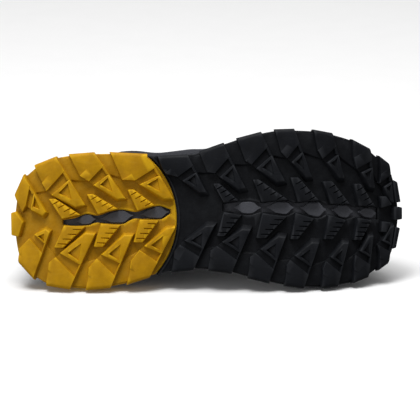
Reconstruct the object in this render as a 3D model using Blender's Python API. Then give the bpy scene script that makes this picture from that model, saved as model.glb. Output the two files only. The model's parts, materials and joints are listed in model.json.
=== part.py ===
"""Outdoor sneaker, one right shoe, lying on its medial side with the tread towards -Y.

Built as it is put together: two outsole pieces of moulded rubber, a foam midsole, a lasted upper,
an insole, a tongue and a lace. Tables and sizes are in millimetres in the frame of the last:
x from heel to toe, y towards the medial side, z up from the ground. The tread is laid out flat,
cut and joined there, then bent to the rocker of the sole. The finished shoe is turned onto its side.
"""

import bmesh
import bpy
import numpy as np
from mathutils import Matrix

MM = 0.001
GAP = 0.3

# Rocker of the sole: heel bevel, raised arch, toe spring
SOLE_LENGTH = 255.0
HEEL_FLAT_X = 51.0
HEEL_RISE = 9.0
ARCH_X = 112.0
ARCH_HALF = 32.0
ARCH_RISE = 2.0
TOE_FLAT_X = 170.0
TOE_RISE = 24.0

# Outsole: lugs on a skin with a turned up rim
LUG_DEPTH = 4.5
SKIN = 2.5
RIM_HEIGHT = 8.0
RIM_WALL = 2.0
RIM_LEAN = 2.0
LUG_DRAFT = 0.9
LUG_OUT = 1.2
LUG_ROOT = 0.8
END_DRAFT = 1.7
BACK_DRAFT = 0.7
ROLL = 3.4
ROLL_DROP = 2.4
RAMP = 3.0
RAMP_DROP = 1.1
WEB_HEIGHT = 1.9
WEB_LAP = 0.4
SHELF_HEIGHT = 1.1
SHELF_INSET = 1.2
POCKET_FLOOR = 2.7
RIB_TOP = 6.2
RIB_INSET = 0.4
CUT_OVER = 1.0
SEAM_X = 55.5
SEAM_Y = 2.0
SEAM_RADIUS = 52.7
SEAM_GAP = 0.4
SEAM_HALF_TURN = 50.0
SEAM_STEPS = 21

# Rim drawn in at heel and toe, where the lugs stand free of it; bars flush with it at the lateral waist
NOTCH_X = (8.0, 30.0, 228.0, 246.0)
NOTCH_DEEP = (2.2, 0.0, 0.0, 2.0)
FLUSH_X = (88.7, 95.9, 115.1, 122.6)
FLUSH_SHARE = (1.0, 0.25, 0.25, 1.0)

# Midsole stack from ground to bed
BED_KNOTS = (0.0, 60.0, 120.0, 175.0, 255.0)
BED_STACK = (26.0, 25.5, 21.5, 16.5, 14.5)
MIDSOLE_LEDGE = 2.4

# Side of the midsole: rows of its section, and its flare past the rim at the lateral waist
SIDE_COLUMNS = ("height_share", "swell")
SIDE_ROWS = ((0.15, 1.1), (0.42, 1.1), (0.50, 0.0), (0.58, 0.9))
FLARE_X = (60.0, 72.0, 84.0, 95.0, 106.0, 116.0, 126.0, 134.0)
FLARE_OUT = (0.0, 3.5, 4.2, 3.9, 4.6, 5.0, 3.0, 0.0)

# Upper
WALL = 1.8
COLLAR_WALL = 3.0
OVERLAY = 0.8
BOXINESS = 0.88
RAND_V = 0.2
CAP_V = 0.62
STAY_V = 0.8
COUNTER_T = 3.25
THROAT_TOP_T = 6.8
THROAT_FRONT_T = 10.0
STAY_END_T = 10.3
CAP_T = 12.75
EYELET_T = (7.2, 7.85, 8.5, 9.1, 9.6)
EYELET_V = 0.91
EYELET_RADIUS = 2.2
EYELET_REACH = 5.0
EYELET_SIDES = 8
FOLD_T = 0.05
FOLD_V = 0.008
RISE_BENDS = (0.34, 0.48, 0.9)
SPAN = 0.02

# Insole, tongue and lace
INSOLE_INSET = 4.0
INSOLE_THICK = 4.0
TONGUE_CLEAR = 1.0
TONGUE_THICK = 3.5
TONGUE_CROWN = 1.5
CROWN_LEAN = 0.2
CROWN_WIDE = 12.0
TONGUE_SPREAD = (0.78, 0.86, 0.93, 1.0)
TONGUE_T = (THROAT_TOP_T + 0.45, THROAT_FRONT_T + 0.5)
TONGUE_STEPS = 12
TONGUE_RISE = (-0.5, 0.0, 0.87)
TONGUE_END = ((7.0, 0.76), (15.0, 0.7))
LACE_RADIUS = 1.5
LACE_LIFT = 3.8
LACE_UP = (0.25, 0.0, 0.97)
LACE_TURN = 0.25

# Point of the last frame that the lying shoe balances over, and how far a side face may lean
BALANCE = (122.0, 2.0, 26.0)
SIDE_FACING = 0.7

# One row a section from heel to toe: sole edge, feather edge, then ridge, throat or collar line
SECTION_COLUMNS = (
    "sole_x", "sole_lat", "sole_med", "feather_x", "feather_lat", "feather_med",
    "top_x", "top_lat", "top_med", "top_z", "dome", "bulge",
)
SECTION_ROWS = (
    (0.9, 5.0, 5.0, 12.0, 4.0, 4.0, 16.0, 4.0, 4.0, 81.0, 0.45, 3.2),
    (2.8, -14.0, 22.5, 15.5, -10.0, 18.0, 18.0, -7.5, 15.5, 80.0, 0.45, 3.0),
    (10.0, -27.5, 35.6, 25.0, -21.5, 29.0, 26.0, -16.5, 24.5, 77.0, 0.45, 2.4),
    (28.0, -37.0, 45.2, 42.0, -28.0, 34.5, 41.0, -22.0, 29.0, 72.5, 0.42, 1.6),
    (52.0, -40.1, 46.9, 62.0, -30.5, 35.0, 59.0, -24.0, 30.5, 70.0, 0.40, 1.0),
    (75.0, -40.3, 43.6, 83.0, -32.0, 33.0, 76.0, -23.5, 30.3, 73.5, 0.40, 0.6),
    (97.0, -38.6, 37.0, 103.0, -34.5, 30.5, 91.0, -19.5, 28.0, 82.0, 0.42, 0.3),
    (118.0, -39.9, 34.0, 122.0, -38.0, 29.5, 104.0, -12.5, 19.5, 91.0, 0.45, 0.0),
    (138.0, -46.2, 35.2, 140.0, -42.5, 31.5, 120.0, -9.5, 15.5, 87.0, 0.52, 0.0),
    (158.0, -52.4, 40.2, 158.0, -46.5, 35.5, 137.0, -7.5, 12.5, 79.5, 0.66, 0.0),
    (178.0, -55.4, 44.3, 177.0, -48.8, 39.5, 157.0, 2.2, 2.2, 71.0, 0.80, 0.0),
    (197.0, -54.8, 46.0, 195.0, -48.5, 41.0, 176.0, 2.0, 2.0, 66.0, 0.90, 0.0),
    (213.0, -51.6, 44.6, 211.0, -45.0, 39.5, 192.0, 1.8, 1.8, 62.5, 0.95, 0.0),
    (228.0, -46.2, 40.9, 225.0, -38.5, 35.0, 206.0, 1.4, 1.4, 60.2, 1.0, 0.0),
    (240.0, -38.2, 34.0, 236.0, -29.0, 27.5, 217.0, 1.0, 1.0, 58.5, 1.0, 0.0),
    (249.0, -29.8, 26.0, 243.0, -16.5, 16.0, 225.0, 0.6, 0.6, 57.0, 1.0, 0.0),
    (254.3, -1.0, -1.0, 246.0, 0.0, 0.0, 229.0, 0.4, 0.4, 55.5, 1.0, 0.0),
)
LAST_T = len(SECTION_ROWS) - 1

# Outer bars of the tread as seen from below: front corner and width at the edge, front of the inner tip
BAR_COLUMNS = ("edge_x", "slab_wide", "tip_x", "tip_y", "frame_wide")
HEEL_BARS = {
    "lat": (
        (8.5, 5.9, 23.5, -2.6, 8.3),
        (29.7, 14.1, 48.8, -7.2, 16.8),
        (54.6, 16.2, 75.0, -11.3, 14.7),
        (89.3, 24.1, 106.2, -11.1, 17.2),
    ),
    "med": (
        (15.0, 9.8, 26.1, 10.4, 9.5),
        (38.8, 15.3, 55.4, 11.7, 17.0),
        (65.2, 15.6, 79.9, 12.4, 15.6),
        (90.6, 14.3, 107.6, 7.2, 15.8),
    ),
}
FORE_BARS = {
    "lat": (
        (115.1, 19.2, 127.1, -15.6, 11.9),
        (137.9, 15.3, 152.6, -18.3, 12.7),
        (162.3, 15.3, 178.0, -22.8, 14.1),
        (184.2, 12.7, 195.6, -25.4, 9.8),
        (209.3, 12.4, 216.8, -24.8, 9.1),
        (234.1, 11.7, 236.7, -18.3, 8.3),
        (246.5, 6.2, 249.4, -9.1, 6.0),
    ),
    "med": (
        (118.7, 13.7, 132.4, 6.5, 15.5),
        (143.4, 15.0, 155.8, 9.1, 15.1),
        (167.6, 13.4, 178.6, 14.0, 13.4),
        (190.4, 12.4, 200.5, 17.6, 13.2),
        (212.6, 10.4, 219.7, 17.6, 9.8),
        (232.8, 9.8, 236.0, 13.0, 8.2),
        (246.0, 6.2, 249.6, 6.5, 7.0),
    ),
}

# Siped blades between the bars and the centre window: outer end, its width, inner end along the window
BLADE_COLUMNS = ("outer_x", "outer_y", "outer_wide", "inner_back_x", "inner_front_x")
HEEL_BLADES = (
    (25.4, -11.1, 3.9, 33.9, 45.6),
    (50.2, -14.0, 3.9, 57.4, 69.8),
    (76.6, -17.0, 3.6, 82.8, 93.9),
    (29.0, 20.5, 5.5, 35.2, 48.9),
    (54.8, 19.9, 5.5, 59.3, 71.7),
    (80.5, 17.0, 5.5, 84.4, 96.5),
)
FORE_BLADES = (
    (131.7, -20.9, 3.9, 138.6, 148.0),
    (157.5, -23.5, 3.6, 163.0, 180.0),
    (181.9, -24.8, 5.0, 186.7, 200.2),
    (203.0, -22.3, 6.0, 208.1, 220.4),
    (223.6, -20.7, 4.0, 226.4, 237.0),
    (134.3, 13.0, 4.6, 138.6, 150.0),
    (159.7, 14.3, 6.0, 163.7, 179.0),
    (181.9, 15.0, 4.5, 185.2, 197.0),
    (203.8, 15.0, 5.5, 206.9, 217.8),
    (223.6, 15.6, 4.3, 226.0, 234.7),
)
BLADE_MARGIN = 0.8

# Blocks at the two ends and at the inner ends of the last row, as corner lists
HEEL_BLOCKS = (
    ((0.7, -2.0), (3.9, -2.9), (8.5, 3.9), (5.5, 13.4), (1.0, 12.4)),
)
FORE_BLOCKS = (
    ((249.0, -23.5), (251.6, -22.0), (253.8, -9.1), (250.9, -8.8)),
    ((250.0, -6.0), (254.8, -5.6), (254.8, 2.0), (250.0, 2.6)),
    ((248.4, 21.4), (250.8, 20.6), (253.4, 7.8), (250.8, 7.0)),
    ((240.6, -12.6), (244.4, -12.6), (248.2, -7.4), (241.5, -5.4)),
    ((241.4, 10.2), (244.4, 10.5), (247.3, 4.2), (241.9, 3.6)),
)

# Ribs that carry the end blocks up the rim, as corner lists
HEEL_RIBS = (
    ((0.7, -2.0), (6.0, -2.4), (6.0, 12.8), (1.0, 12.4)),
)
FORE_RIBS = (
    ((251.6, -22.0), (253.8, -9.1), (250.8, -8.4), (248.6, -20.8)),
    ((254.8, -5.6), (254.8, 2.0), (251.6, 2.0), (251.6, -5.6)),
    ((250.8, 20.6), (253.4, 7.8), (250.4, 7.2), (248.0, 19.8)),
)

# Wavy centre windows through the skin: x, lateral edge, medial edge
WINDOW_COLUMNS = ("x", "lat", "med")
HEEL_WINDOW = (
    (34.6, 2.6, 5.5), (42.4, 1.3, 6.2), (50.2, -1.3, 6.0), (56.7, -0.3, 4.2), (64.5, -2.6, 4.9),
    (72.4, -4.1, 5.2), (81.5, -2.6, 1.6), (89.3, -4.9, 1.8), (97.1, -6.5, 2.2), (104.2, -4.2, -1.6),
)
FORE_WINDOW = (
    (138.2, -7.8, -3.3), (144.0, -8.5, -2.6), (154.5, -9.8, -0.7), (163.7, -8.2, -2.6),
    (170.2, -9.5, -1.6), (178.6, -9.9, -0.3), (185.8, -8.2, -2.9), (192.3, -9.1, -0.3),
    (199.5, -9.5, 1.3), (206.7, -7.0, -1.4), (217.1, -7.8, 2.0), (224.3, -5.9, 0.3),
    (234.1, -5.9, 2.0), (238.6, -5.2, 2.0),
)

# Planes that cut the flat tread where it bends
BEND_CUTS = (
    8.0, 20.0, 35.0, 51.0, 80.0, 96.0, 112.0, 128.0, 144.0,
    170.0, 184.0, 197.0, 209.0, 219.5, 229.0, 238.0, 246.5,
)

# Fractions of a bar that set its notch, its inner frame and the pocket in the frame
SLAB_FRONT = 0.305
SHOULDER = 0.47
SHOULDER_LEAN = {"lat": 0.75, "med": 0.3}
FRAME_FRONT = 0.475
FRAME_CORNER = (0.695, 0.96)
TIP_WIDE = 0.36
APEX_BACK = 3.2
APEX_OUT = 2.6
ACROSS_LEAN = (1.0, 0.5)
POCKET = ((0.56, 0.16), (0.84, 0.36), (0.69, 0.66))
SIDE_SIGN = {"lat": -1.0, "med": 1.0}


def smooth_curve(knots, values, flat_ends):
    """Monotone cubic through the knots, as a function of an array."""
    knots = np.asarray(knots, float)
    values = np.asarray(values, float)
    width = np.diff(knots)
    secant = np.diff(values) / width
    slope = np.zeros_like(values)
    before = 2 * width[1:] + width[:-1]
    after = width[1:] + 2 * width[:-1]
    same = secant[:-1] * secant[1:] > 0
    first = np.where(same, secant[:-1], 1.0)
    second = np.where(same, secant[1:], 1.0)
    slope[1:-1] = np.where(same, (before + after) / (before / first + after / second), 0.0)
    if not flat_ends:
        slope[0] = secant[0]
        slope[-1] = secant[-1]

    def at(where):
        where = np.clip(np.asarray(where, float), knots[0], knots[-1])
        piece = np.clip(np.searchsorted(knots, where, side="right") - 1, 0, len(width) - 1)
        span = width[piece]
        part = (where - knots[piece]) / span
        rest = 1 - part
        low = values[piece] * (1 + 2 * part) * rest**2 + span * slope[piece] * part * rest**2
        high = values[piece + 1] * part**2 * (3 - 2 * part) - span * slope[piece + 1] * part**2 * rest
        return low + high

    return at


def table_curves(columns, rows):
    """One smooth curve a column over the row number; x and z run square through the two ends."""
    knots = np.arange(len(rows))
    table = np.array(rows)
    return {
        name: smooth_curve(knots, table[:, at], not name.endswith(("lat", "med")))
        for at, name in enumerate(columns)
    }


LAST = table_curves(SECTION_COLUMNS, SECTION_ROWS)
FINE_T = np.linspace(0, LAST_T, 161)
SOLE_T = np.linspace(0, LAST_T, 41)
RING_T = np.concatenate((np.linspace(0, 3, 7), np.linspace(3.7, 11.4, 11), np.linspace(12, LAST_T, 9)))
BED = smooth_curve(BED_KNOTS, BED_STACK, True)


def sole_edge(side, x):
    """Y of the sole's edge on one side at x."""
    return np.interp(x, LAST["sole_x"](FINE_T), LAST["sole_" + side](FINE_T))


def edge_point(side, x, out):
    """Point of the sole's edge at x, moved square out of the sole."""
    rise = (sole_edge(side, x + SPAN) - sole_edge(side, x - SPAN)) / (2 * SPAN)
    square = np.array((-rise, 1.0)) / np.hypot(rise, 1.0) * SIDE_SIGN[side]
    return np.array((x, sole_edge(side, x))) + square * out


def toe_spring(x):
    """Rise of the forefoot over the ground at x."""
    return TOE_RISE * np.clip((x - TOE_FLAT_X) / (SOLE_LENGTH - TOE_FLAT_X), 0, None) ** 2


def rocker(x):
    """Height of the tread over the ground at x."""
    heel = HEEL_RISE * np.clip(1 - x / HEEL_FLAT_X, 0, None) ** 2
    arch = ARCH_RISE * np.cos(np.clip((x - ARCH_X) / ARCH_HALF, -1, 1) * np.pi / 2) ** 2
    return heel + arch + toe_spring(x)


def bed_height(x):
    """Top of the midsole at x."""
    return toe_spring(x) + BED(x)


def seat_height(x):
    """Bottom of the upper at x, clear of the bed under its overlays."""
    return np.maximum(bed_height(x - OVERLAY), bed_height(x + OVERLAY)) + GAP


def bend(points):
    """Flat tread points (x, y, minus depth below the skin) onto the rocker."""
    x, y, up = np.asarray(points, float).T
    slope = (rocker(x + 0.05) - rocker(x - 0.05)) / 0.1
    square = 1 / np.sqrt(1 + slope**2)
    return np.column_stack((x - up * slope * square, y, LUG_DEPTH + rocker(x) + up * square))


def flat_of_tip(points):
    """Flat places whose lug tips are seen at the given places after the bend."""
    seen = np.asarray(points, float)
    flat = seen.copy()
    for _ in range(5):
        tips = bend(np.column_stack((flat, np.full(len(flat), -LUG_DEPTH))))
        flat = flat + seen - tips[:, :2]
    return flat


def loop_of(kind, steps):
    """Closed plan loop: lateral side from heel to toe, then medial side back."""
    lateral = np.column_stack((LAST[kind + "_x"](steps), LAST[kind + "_lat"](steps)))
    medial = np.column_stack((LAST[kind + "_x"](steps), LAST[kind + "_med"](steps)))
    return np.vstack((lateral, medial[-2:0:-1]))


def grown(loop, distance):
    """Closed loop moved outward by a distance, or by one distance a corner."""
    loop = np.asarray(loop, float)
    x, y = loop.T
    turn = np.sign(np.sum(x * np.roll(y, -1) - np.roll(x, -1) * y))
    along = np.roll(loop, -1, axis=0) - np.roll(loop, 1, axis=0)
    along = along / np.linalg.norm(along, axis=1)[:, None]
    square = turn * np.column_stack((along[:, 1], -along[:, 0]))
    return loop + square * np.broadcast_to(distance, len(loop))[:, None]


def toward(start, goal, distance):
    """Point at a distance from start on the way to goal."""
    along = np.asarray(goal) - start
    return start + along / np.linalg.norm(along) * distance


def sole_rim():
    """Plan loop of the outsole's rim: the sole's edge, drawn in at heel and toe."""
    edge = loop_of("sole", SOLE_T)
    return grown(edge, -np.interp(edge[:, 0], NOTCH_X, NOTCH_DEEP))


def new_object(name, bm, material=None):
    """Mesh object from a bmesh in millimetres."""
    bmesh.ops.recalc_face_normals(bm, faces=bm.faces)
    bmesh.ops.scale(bm, vec=(MM, MM, MM), verts=bm.verts)
    mesh = bpy.data.meshes.new(name)
    bm.to_mesh(mesh)
    bm.free()
    if material:
        mesh.materials.append(material)
    item = bpy.data.objects.new(name, mesh)
    bpy.context.scene.collection.objects.link(item)
    return item


def bake(item):
    """Swap an object's modifiers for their result."""
    depsgraph = bpy.context.evaluated_depsgraph_get()
    mesh = bpy.data.meshes.new_from_object(item.evaluated_get(depsgraph))
    item.modifiers.clear()
    item.data = mesh


def combine(item, other, operation):
    """Boolean of two objects; the second one is used up."""
    modifier = item.modifiers.new(operation.lower(), "BOOLEAN")
    modifier.operation = operation
    modifier.object = other
    modifier.use_self = operation == "UNION"
    bake(item)
    bpy.data.objects.remove(other)


def add_stack(bm, rings):
    """Closed stack of plan rings, each given as (outline, depth below the skin)."""
    rows = [[bm.verts.new((x, y, -depth)) for x, y in outline] for outline, depth in rings]
    count = len(rows[0])
    for lower, upper in zip(rows, rows[1:]):
        for at in range(count):
            after = (at + 1) % count
            bm.faces.new((lower[at], lower[after], upper[after], upper[at]))
    bm.faces.new(rows[0])
    bm.faces.new(rows[-1])


def add_lug(bm, outline, height):
    """Drafted lug of one height, its root sunk into the skin."""
    add_stack(bm, ((outline, height), (grown(outline, LUG_DRAFT), -LUG_ROOT)))


def add_frame(bm, outline):
    """Inner frame of a bar: a lug whose inner end and back run out in wide slopes."""
    front, tip, back, _ = outline
    foot = grown(outline, LUG_DRAFT)
    foot[1:3] += toward(front, tip, END_DRAFT) - front
    foot[2:4] += toward(tip, back, BACK_DRAFT) - tip
    add_stack(bm, ((outline, LUG_DEPTH), (foot, -LUG_ROOT)))


def add_slab(bm, corners):
    """Outer slab of a bar: flat top, rolled outer end, ramp at its inner back corner."""
    front, notch, apex, shoulder, back = corners
    rolled = (toward(back, shoulder, ROLL), toward(front, notch, ROLL))
    ramped = (toward(apex, notch, RAMP), toward(shoulder, back, RAMP))
    foot = grown(corners, LUG_DRAFT)
    along = toward(back, front, 1.0) - back
    for at in (0, -1):
        foot[at] = corners[at] + along * np.dot(foot[at] - corners[at], along)

    def ring(points, depth):
        return [bm.verts.new((x, y, -depth)) for x, y in points]

    top = ring((*rolled, notch, *ramped), LUG_DEPTH)
    end = ring((back, front), LUG_DEPTH - ROLL_DROP)
    ramp = ring((apex, shoulder), LUG_DEPTH - RAMP_DROP)
    root = ring(foot, -LUG_ROOT)
    for face in (
        top,
        (top[0], top[1], end[1], end[0]),
        (top[3], top[4], ramp[1], ramp[0]),
        (top[1], top[2], root[1], root[0], end[1]),
        (top[2], top[3], ramp[0], root[2], root[1]),
        (ramp[0], ramp[1], root[3], root[2]),
        (top[4], top[0], end[0], root[4], root[3], ramp[1]),
        (end[0], end[1], root[0], root[4]),
        root,
    ):
        bm.faces.new(face)


def add_shelf(bm, side, behind, before):
    """Low shelf on the outer part of the valley between two neighbouring bars."""
    inset = (0.0, SIDE_SIGN[side] * (LUG_OUT + SHELF_INSET))
    outer = [behind["slab"][0] - inset, before["slab"][4] - inset]
    inner = [before["slab"][3], before["slab"][2], behind["frame"][0]]
    top = np.array((*outer, *inner))
    foot = grown(top, LUG_DRAFT)
    foot[:2] = top[:2]
    add_stack(bm, ((top, SHELF_HEIGHT), (foot, -LUG_ROOT)))


def add_rings(bm, rings):
    """Closed stack of rings with ladder faces across the first and the last one."""
    count = len(rings[0])
    rows = [[bm.verts.new(point) for point in ring] for ring in rings]
    for lower, upper in zip(rows, rows[1:]):
        for at in range(count):
            after = (at + 1) % count
            bm.faces.new((lower[at], lower[after], upper[after], upper[at]))
    for row in (rows[0], rows[-1]):
        for at in range(count // 2):
            corners = (row[at], row[at + 1], row[(count - at - 1) % count], row[(count - at) % count])
            bm.faces.new(tuple(dict.fromkeys(corners)))


def rubber_like(name, colour, roughness):
    """Plain material of one colour."""
    material = bpy.data.materials.new(name)
    material.use_nodes = True
    shader = material.node_tree.nodes["Principled BSDF"]
    shader.inputs["Base Color"].default_value = (*colour, 1.0)
    shader.inputs["Roughness"].default_value = roughness
    return material


def bar_edge(side, x):
    """Outer edge of a bar at x: a little outside the sole's edge, but flush with it at the lateral waist."""
    share = np.interp(x, FLUSH_X, FLUSH_SHARE) if side == "lat" else 1.0
    return np.array((x, sole_edge(side, x) + SIDE_SIGN[side] * LUG_OUT * share))


def bar_plan(side, row):
    """Plan outlines of one outer bar: slab, frame, web, pocket and rib up the rim."""
    bar = dict(zip(BAR_COLUMNS, row))
    back_x = bar["edge_x"] - bar["slab_wide"]
    edge_front = bar_edge(side, bar["edge_x"])
    edge_back = bar_edge(side, back_x)
    tip = np.array((bar["tip_x"], bar["tip_y"]))
    inward = tip - edge_front
    across = (edge_back - edge_front) * ACROSS_LEAN
    across = across / np.linalg.norm(across) * bar["frame_wide"]
    corner = edge_front + inward * FRAME_CORNER[0] + across * FRAME_CORNER[1]
    apex = corner + (-APEX_BACK, SIDE_SIGN[side] * APEX_OUT)
    shoulder = edge_back + inward * (SHOULDER * SHOULDER_LEAN[side], SHOULDER)
    slab_front = edge_front + inward * SLAB_FRONT
    frame_front = edge_front + inward * FRAME_FRONT
    inset = (0.0, SIDE_SIGN[side] * RIB_INSET)
    rib = [edge_back - inset, edge_front - inset]
    for x in (bar["edge_x"], back_x):
        rib.append(edge_point(side, x, -RIM_LEAN - np.interp(x, NOTCH_X, NOTCH_DEEP)))
    plan = {
        "slab": (edge_front, slab_front, apex, shoulder, edge_back),
        "frame": (frame_front, tip, tip + across * TIP_WIDE, corner),
        "web": grown((slab_front, frame_front, corner, apex), WEB_LAP),
        "pocket": [edge_front + inward * a + across * b for a, b in POCKET],
        "rib": rib,
    }
    return {name: flat_of_tip(outline) for name, outline in plan.items()}


def blade_outline(row, window):
    """Plan outline of one siped blade that ends along the window's edge."""
    blade = dict(zip(BLADE_COLUMNS, row))
    side = "lat" if blade["outer_y"] < 0 else "med"
    table = np.array(window)
    edge = table[:, WINDOW_COLUMNS.index(side)] + SIDE_SIGN[side] * BLADE_MARGIN
    inner = [
        (x, np.interp(x, table[:, 0], edge)) for x in (blade["inner_front_x"], blade["inner_back_x"])
    ]
    outer = [(blade["outer_x"] + shift, blade["outer_y"]) for shift in (0.0, blade["outer_wide"])]
    return outer + inner


def seam_zone(shift):
    """Plan outline of everything in front of the seam, moved by a shift."""
    turn = np.radians(np.linspace(-SEAM_HALF_TURN, SEAM_HALF_TURN, SEAM_STEPS))
    radius = SEAM_RADIUS + shift
    arc = np.column_stack((SEAM_X + radius * np.cos(turn), SEAM_Y + radius * np.sin(turn)))
    wide = SOLE_LENGTH / 2
    lower = (arc[0][0], -wide)
    upper = (arc[-1][0], wide)
    far = SOLE_LENGTH + wide
    return np.vstack((lower, arc, upper, (far, wide), (far, -wide)))


def keep_main(bm):
    """Keep the largest surface: a union can leave tiny sealed voids between overlapping lugs."""
    left = set(bm.verts)
    islands = []
    while left:
        front = [left.pop()]
        island = list(front)
        while front:
            beside = [edge.other_vert(vert) for vert in front for edge in vert.link_edges]
            front = list(left.intersection(beside))
            left.difference_update(front)
            island.extend(front)
        islands.append(island)
    islands.sort(key=len)
    for island in islands[:-1]:
        bmesh.ops.delete(bm, geom=island, context="VERTS")


def outsole(name, bars, blades, blocks, ribs, window, front, material):
    """One outsole piece: laid out flat, joined, cut at the seam, sliced and bent."""
    rim = sole_rim()
    base = bmesh.new()
    add_stack(base, ((rim, 0.0), (grown(rim, -RIM_LEAN), -RIM_HEIGHT)))
    item = new_object(name, base, material)

    tray = bmesh.new()
    inside = grown(rim, -RIM_LEAN - RIM_WALL)
    add_stack(tray, ((inside, -SKIN), (inside, -RIM_HEIGHT - CUT_OVER)))
    combine(item, new_object("tray", tray), "DIFFERENCE")
    opening = bmesh.new()
    table = np.array(window)
    slot = np.vstack((table[:, :2], table[::-1][:, (0, 2)]))
    add_stack(opening, ((slot, CUT_OVER), (slot, -SKIN - CUT_OVER)))
    combine(item, new_object("opening", opening), "DIFFERENCE")

    lugs = bmesh.new()
    pockets = bmesh.new()
    for side, rows in bars.items():
        plans = [bar_plan(side, row) for row in rows]
        for plan in plans:
            add_slab(lugs, plan["slab"])
            add_frame(lugs, plan["frame"])
            add_lug(lugs, plan["web"], WEB_HEIGHT)
            add_stack(lugs, ((plan["rib"], LUG_ROOT), (plan["rib"], -RIB_TOP)))
            mouth = grown(plan["pocket"], LUG_DRAFT)
            add_stack(pockets, ((plan["pocket"], POCKET_FLOOR), (mouth, LUG_DEPTH + CUT_OVER)))
        for behind, before in zip(plans, plans[1:]):
            add_shelf(lugs, side, behind, before)
    for row in blades:
        add_lug(lugs, flat_of_tip(blade_outline(row, window)), LUG_DEPTH)
    for block in blocks:
        add_lug(lugs, flat_of_tip(block), LUG_DEPTH)
    for rib in ribs:
        outline = flat_of_tip(rib)
        add_stack(lugs, ((outline, LUG_ROOT), (outline, -RIB_TOP)))
    combine(item, new_object("lugs", lugs), "UNION")
    combine(item, new_object("pockets", pockets), "DIFFERENCE")

    seam = bmesh.new()
    zone = seam_zone(SEAM_GAP if front else 0.0)
    add_stack(seam, ((zone, LUG_DEPTH + CUT_OVER), (zone, -RIM_HEIGHT - CUT_OVER)))
    combine(item, new_object("seam", seam), "INTERSECT" if front else "DIFFERENCE")

    tread = bmesh.new()
    tread.from_mesh(item.data)
    keep_main(tread)
    for x in BEND_CUTS:
        everything = list(tread.verts) + list(tread.edges) + list(tread.faces)
        bmesh.ops.bisect_plane(tread, geom=everything, plane_co=(x * MM, 0, 0), plane_no=(1, 0, 0))
    bent = bend(np.array([vert.co for vert in tread.verts]) / MM) * MM
    for vert, place in zip(tread.verts, bent):
        vert.co = place
    tread.to_mesh(item.data)
    tread.free()
    return item


def midsole(material):
    """Foam between the rims and the upper: a tray inside the rim, a ledge over it, a grooved side."""
    edge = sole_rim()
    feather = grown(loop_of("feather", SOLE_T), MIDSOLE_LEDGE)
    rim_inside = grown(edge, -RIM_LEAN - RIM_WALL - GAP)
    rim_outside = grown(edge, -RIM_LEAN)
    bottom = bend(np.column_stack((rim_inside, np.full(len(edge), SKIN + GAP))))
    tray = bend(np.column_stack((rim_inside, np.full(len(edge), RIM_HEIGHT + GAP))))
    ledge = bend(np.column_stack((rim_outside, np.full(len(edge), RIM_HEIGHT + GAP))))
    top = np.column_stack((feather, bed_height(feather[:, 0])))
    outward = np.column_stack((grown(edge, 1.0) - edge, np.zeros(len(edge))))
    flare = smooth_curve(FLARE_X, FLARE_OUT, True)(edge[:, 0]) * (edge[:, 1] < 0)
    sides = []
    for row in SIDE_ROWS:
        level = dict(zip(SIDE_COLUMNS, row))
        full = level["swell"] + flare * (1 - level["height_share"])
        sides.append(ledge + (top - ledge) * level["height_share"] + outward * full[:, None])
    bm = bmesh.new()
    add_rings(bm, (bottom, tray, ledge, *sides, top))
    return new_object("midsole", bm, material)


def insole(material):
    """Loose footbed on the midsole, clear of the upper's wall."""
    plan = grown(loop_of("feather", RING_T), -INSOLE_INSET)
    height = bed_height(plan[:, 0]) + GAP
    rings = [np.column_stack((plan, height)), np.column_stack((plan, height + INSOLE_THICK))]
    bm = bmesh.new()
    add_rings(bm, rings)
    return new_object("insole", bm, material)


def shell_point(side, t, v):
    """Point of the last's surface: section t from heel to toe, v from feather edge to top line."""
    t, v = np.broadcast_arrays(np.asarray(t, float), np.asarray(v, float))
    low_x = LAST["feather_x"](t)
    feather = np.stack((low_x, LAST["feather_" + side](t), seat_height(low_x)), -1)
    top = np.stack((LAST["top_x"](t), LAST["top_" + side](t), LAST["top_z"](t)), -1)
    dome = LAST["dome"](t)
    run = (1 - dome) * v + dome * (1 - np.cos(v * np.pi / 2).clip(0) ** BOXINESS)
    rise = (1 - dome) * v + dome * np.sin(v * np.pi / 2) ** BOXINESS
    share = np.stack((run, run, rise), -1)
    early, late = np.clip(t - SPAN, 0, LAST_T), np.clip(t + SPAN, 0, LAST_T)
    along_x = LAST["feather_x"](late) - LAST["feather_x"](early)
    along_y = LAST["feather_" + side](late) - LAST["feather_" + side](early)
    out = np.stack((-along_y, along_x, np.zeros_like(t)), -1) * SIDE_SIGN[side]
    out = out / np.linalg.norm(out, axis=-1)[..., None]
    swell = LAST["bulge"](t) * np.sin(v * np.pi)
    return feather + (top - feather) * share + out * swell[..., None]


def shell_normal(side, t, v):
    """Outward normal of the last's surface."""
    t, v = np.broadcast_arrays(np.asarray(t, float), np.asarray(v, float))
    early, late = np.clip(t - SPAN, 0, LAST_T), np.clip(t + SPAN, 0, LAST_T)
    low, high = np.clip(v - SPAN, 0.001, 1), np.clip(v + SPAN, 0, 0.999)
    along = shell_point(side, late, v) - shell_point(side, early, v)
    up = shell_point(side, t, high) - shell_point(side, t, low)
    normal = np.cross(up, along) * SIDE_SIGN[side]
    return normal / np.linalg.norm(normal, axis=-1)[..., None]


def overlay_height(t, v):
    """Extra thickness of rand, toe cap, heel counter and eyestay."""
    rand = v <= RAND_V
    cap = (t >= CAP_T) & (v <= CAP_V)
    counter = (t <= COUNTER_T) & (v <= CAP_V)
    stay = (t >= THROAT_TOP_T) & (t <= STAY_END_T) & (v >= STAY_V)
    return np.where(rand | cap | counter | stay, OVERLAY, 0.0)


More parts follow.
